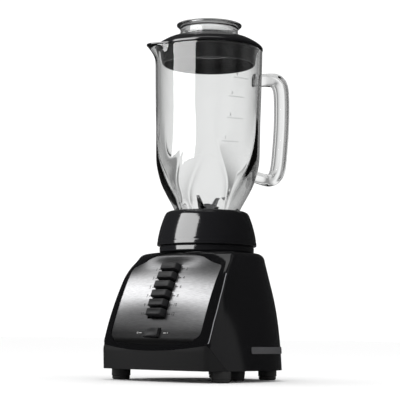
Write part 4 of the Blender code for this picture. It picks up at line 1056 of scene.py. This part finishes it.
GLASS_IOR = 1.5
clear_glass, glass_tree, glass_shader = see_through("pressed_glass", (0.915, 0.92, 0.918), 0.012, 0.02, 18.0, 0.01)
glass_shader.inputs["IOR"].default_value = GLASS_IOR
moulding_flow(glass_tree, glass_shader, 55.0, 22.0, 0.8, 0.10)
fit("pressed_jar", combine("UNION", jar, handle), clear_glass, "glass", ["jar_glass"], sharp=50.0,
    place=Matrix.Rotation(JAR_TURN, 4, "Z"))

# ---- Measure marks ------------------------------------------------------------------------
# Four raised lines with a number each, pressed on the wall to the left of the handle. They
# step round the jar a little on the way down.
frosted_glass, _, frost_shader = see_through("raised_marks", (0.86, 0.87, 0.87), 0.16, 0.1, 300.0)
frost_shader.inputs["IOR"].default_value = GLASS_IOR
MARK_LIFT, MARK_THICK = 0.04, 0.45


def wrap_on_jar(name, flat, bearing, z):
    """Wrap flat artwork (x, up, thickness) round the upright wall of the jar."""
    for vert in flat.verts:
        x, up, thick = vert.co
        reach = jar_radius(z + up) + MARK_LIFT + thick
        a = bearing + x / jar_radius(z)
        vert.co = (reach * math.cos(a), reach * math.sin(a), z + up)
    return fit(name, flat, frosted_glass, "glass", sharp=50.0)


for index, (z, degrees, text) in enumerate(((326.0, -14.0, "4"), (305.0, -19.5, "3"), (281.5, -21.0, "2"),
                                            (256.0, -26.3, "1"))):
    artwork = [strip((-9.5, 9.5), (-0.45, 0.45), MARK_THICK, 16), numeral(text, 5.6, -6.0, 3.6, MARK_THICK)]
    wrap_on_jar(f"measure_mark_{index + 1}", gather(artwork), math.radians(degrees), z)

# ---- Lid ----------------------------------------------------------------------------------
# A gloss black lid with a shallow dome, a tab over the pouring lip and a plug skirt with two
# sealing ribs that grips the inside of the glass.
lid_black = moulded("lid_black", (0.004, 0.004, 0.0045), 0.12, smear=0.07, smear_scale=26.0, dust=0.03,
                    grain_scale=800.0, grain_depth=0.006)
LID_TOP = 380.3
lid_profile = [
    (34.2, LID_TOP - 0.1), (34.6, LID_TOP), (36.6, LID_TOP - 0.1), (38.0, 379.6), (42.0, 378.6), (46.0, 377.2),
    (49.6, 375.5), (53.0, 373.5), (55.6, 371.9), (57.6, 370.4), (59.2, 369.0), (60.1, 367.9), (60.3, 366.8),
    (60.3, 365.6), (54.2, 365.55), (53.4, 360.0), (53.1, 357.6), (52.6, 357.0), (52.5, 355.6), (52.6, 354.6),
    (52.3, 353.0), (51.9, 349.6), (51.3, 348.5), (49.7, 348.5), (49.6, 350.0), (49.6, 364.6), (45.0, 369.8),
    (38.6, 374.6), (36.6, 374.2), (36.6, 367.0), (34.2, 367.0)]
TAB_ROWS = (365.0, 367.2)
lid_rings = []
for radius, z in rounded(lid_profile, 0.3, 2):
    ring = []
    for a in jar_angles:
        tab = 1.02 * spout_swell(a, JAR_RIM) if radius > 54.0 and TAB_ROWS[0] < z < TAB_ROWS[1] else 0.0
        reach = radius + tab
        ring.append((reach * math.cos(a), reach * math.sin(a), z))
    lid_rings.append(ring)
fit("domed_lid", skin(lid_rings, closed=True), lid_black, "lid", ["lid"], sharp=40.0,
    place=Matrix.Rotation(JAR_TURN, 4, "Z"))

# ---- Filler cap ---------------------------------------------------------------------------
# A clear moulded cup that hangs in the lid by a shoulder. Its flared brim lifts out between
# two fingers, and two rings inside mark the measure.
CAP_IOR = 1.46
clear_plastic, cap_tree, cap_shader = see_through("clear_cap", (0.955, 0.96, 0.96), 0.05, 0.05, 40.0, 0.02)
cap_shader.inputs["IOR"].default_value = CAP_IOR
moulding_flow(cap_tree, cap_shader, 90.0, 35.0, 0.6, 0.06)
cap_outer = [(0.4, 392.5), (18.0, 392.5), (28.0, 392.5), (30.6, 392.7), (33.6, 393.4), (35.8, 394.3), (36.35, 394.2),
             (36.3, 393.4), (34.6, 391.8), (33.2, 390.6), (32.5, 389.4), (32.2, 388.0), (32.2, 382.8), (34.9, 382.0),
             (34.95, 380.75), (33.3, 380.65), (32.9, 378.0), (32.8, 363.3), (32.5, 363.02), (30.7, 363.02),
             (30.45, 363.3), (30.3, 375.0), (30.0, 375.2), (30.0, 376.0), (30.3, 376.2), (30.25, 384.0),
             (30.2, 388.8), (29.6, 389.9), (28.0, 390.35), (0.4, 390.4)]
fit("filler_cup", skin([[(r * math.cos(a), r * math.sin(a), z) for a in jar_angles] for r, z in cap_outer]),
    clear_plastic, "cap", ["filler_cap"], sharp=50.0)

# ---- Motor and switchgear -----------------------------------------------------------------
# The parts inside the housing keep their plain shapes: laminated iron, enamelled copper, drawn
# steel, bronze bushes, carbon brushes and the moulded switch bodies.
drawn_steel = metal("drawn_steel", (0.40, 0.40, 0.41), (0.60, 0.60, 0.61), 0.26, (500.0, 500.0, 30.0), 0.004)
laminated = metal("laminated_iron", (0.10, 0.10, 0.11), (0.24, 0.24, 0.25), 0.48, (8.0, 8.0, 2000.0), 0.05)
cast_metal = metal("cast_metal", (0.36, 0.36, 0.37), (0.48, 0.48, 0.49), 0.46, (700.0, 700.0, 700.0), 0.05)
copper = metal("enamelled_copper", (0.42, 0.17, 0.07), (0.74, 0.36, 0.18), 0.30, (15.0, 15.0, 1700.0), 0.10)
bronze = metal("sintered_bronze", (0.34, 0.24, 0.13), (0.52, 0.38, 0.22), 0.44, (1300.0, 1300.0, 1300.0), 0.02)
carbon = moulded("brush_carbon", (0.024, 0.024, 0.025), 0.62, smear=0.1, dust=0.1, grain_scale=1900.0,
                 grain_depth=0.05)
plain_plastic = moulded("plain_plastic", (0.045, 0.045, 0.046), 0.50, smear=0.1, dust=0.08, grain_scale=1300.0,
                        grain_depth=0.04)
INSIDE_FINISHES = {
    "zinc_steel": drawn_steel, "laminated_iron": laminated, "cast_metal": cast_metal, "copper": copper,
    "bronze": bronze, "carbon": carbon, "moulded_plastic": plain_plastic, "rubber": rubber,
    "satin_black": satin_black, "gloss_black": gloss_black, "blade_steel": ground_steel}
replaced = {
    "side_shell", "chin_cover", "front_frame", "faceplate", "rocker_key", "rear_strip", "cord_gland", "foot_heel",
    "jar_seat", "jar_collar", "blade_housing", "jar_gasket", "lower_blade", "upper_blade", "blade_nut", "jar_glass",
    "lid", "filler_cap"}
slot_of = {part["node"]: part["material_slot"] for part in frame["record"]["subparts"]}
for name, node in frame["nodes"].items():
    if slot_of[name] in INSIDE_FINISHES and name not in replaced:
        node.data.materials.clear()
        node.data.materials.append(INSIDE_FINISHES[slot_of[name]])

# ---- Light families -----------------------------------------------------------------------
# Each softbox lights one family: the panel with its keys, the jar with lid and collar, the
# chin with the feet, and the rest of the base with the parts inside it.
PANEL_STARTS = ("steel_panel", "key_mark", "rocker_oval", "rocker_sign", "push_key", "rocker_cap")
CHIN_STARTS = ("chin_moulding", "foot_", "heel_block")
JAR_STARTS = ("pressed_jar", "measure_mark", "domed_lid", "filler_cup", "screw_collar", "seat_ring")
for piece in bpy.data.objects:
    if piece.type != "MESH" or piece == floor:
        continue
    if piece.name.startswith(PANEL_STARTS):
        panel_pieces.objects.link(piece)
    elif piece.name.startswith(JAR_STARTS):
        jar_pieces.objects.link(piece)
    else:
        shell_pieces.objects.link(piece)
        if piece.name.startswith(CHIN_STARTS):
            chin_pieces.objects.link(piece)
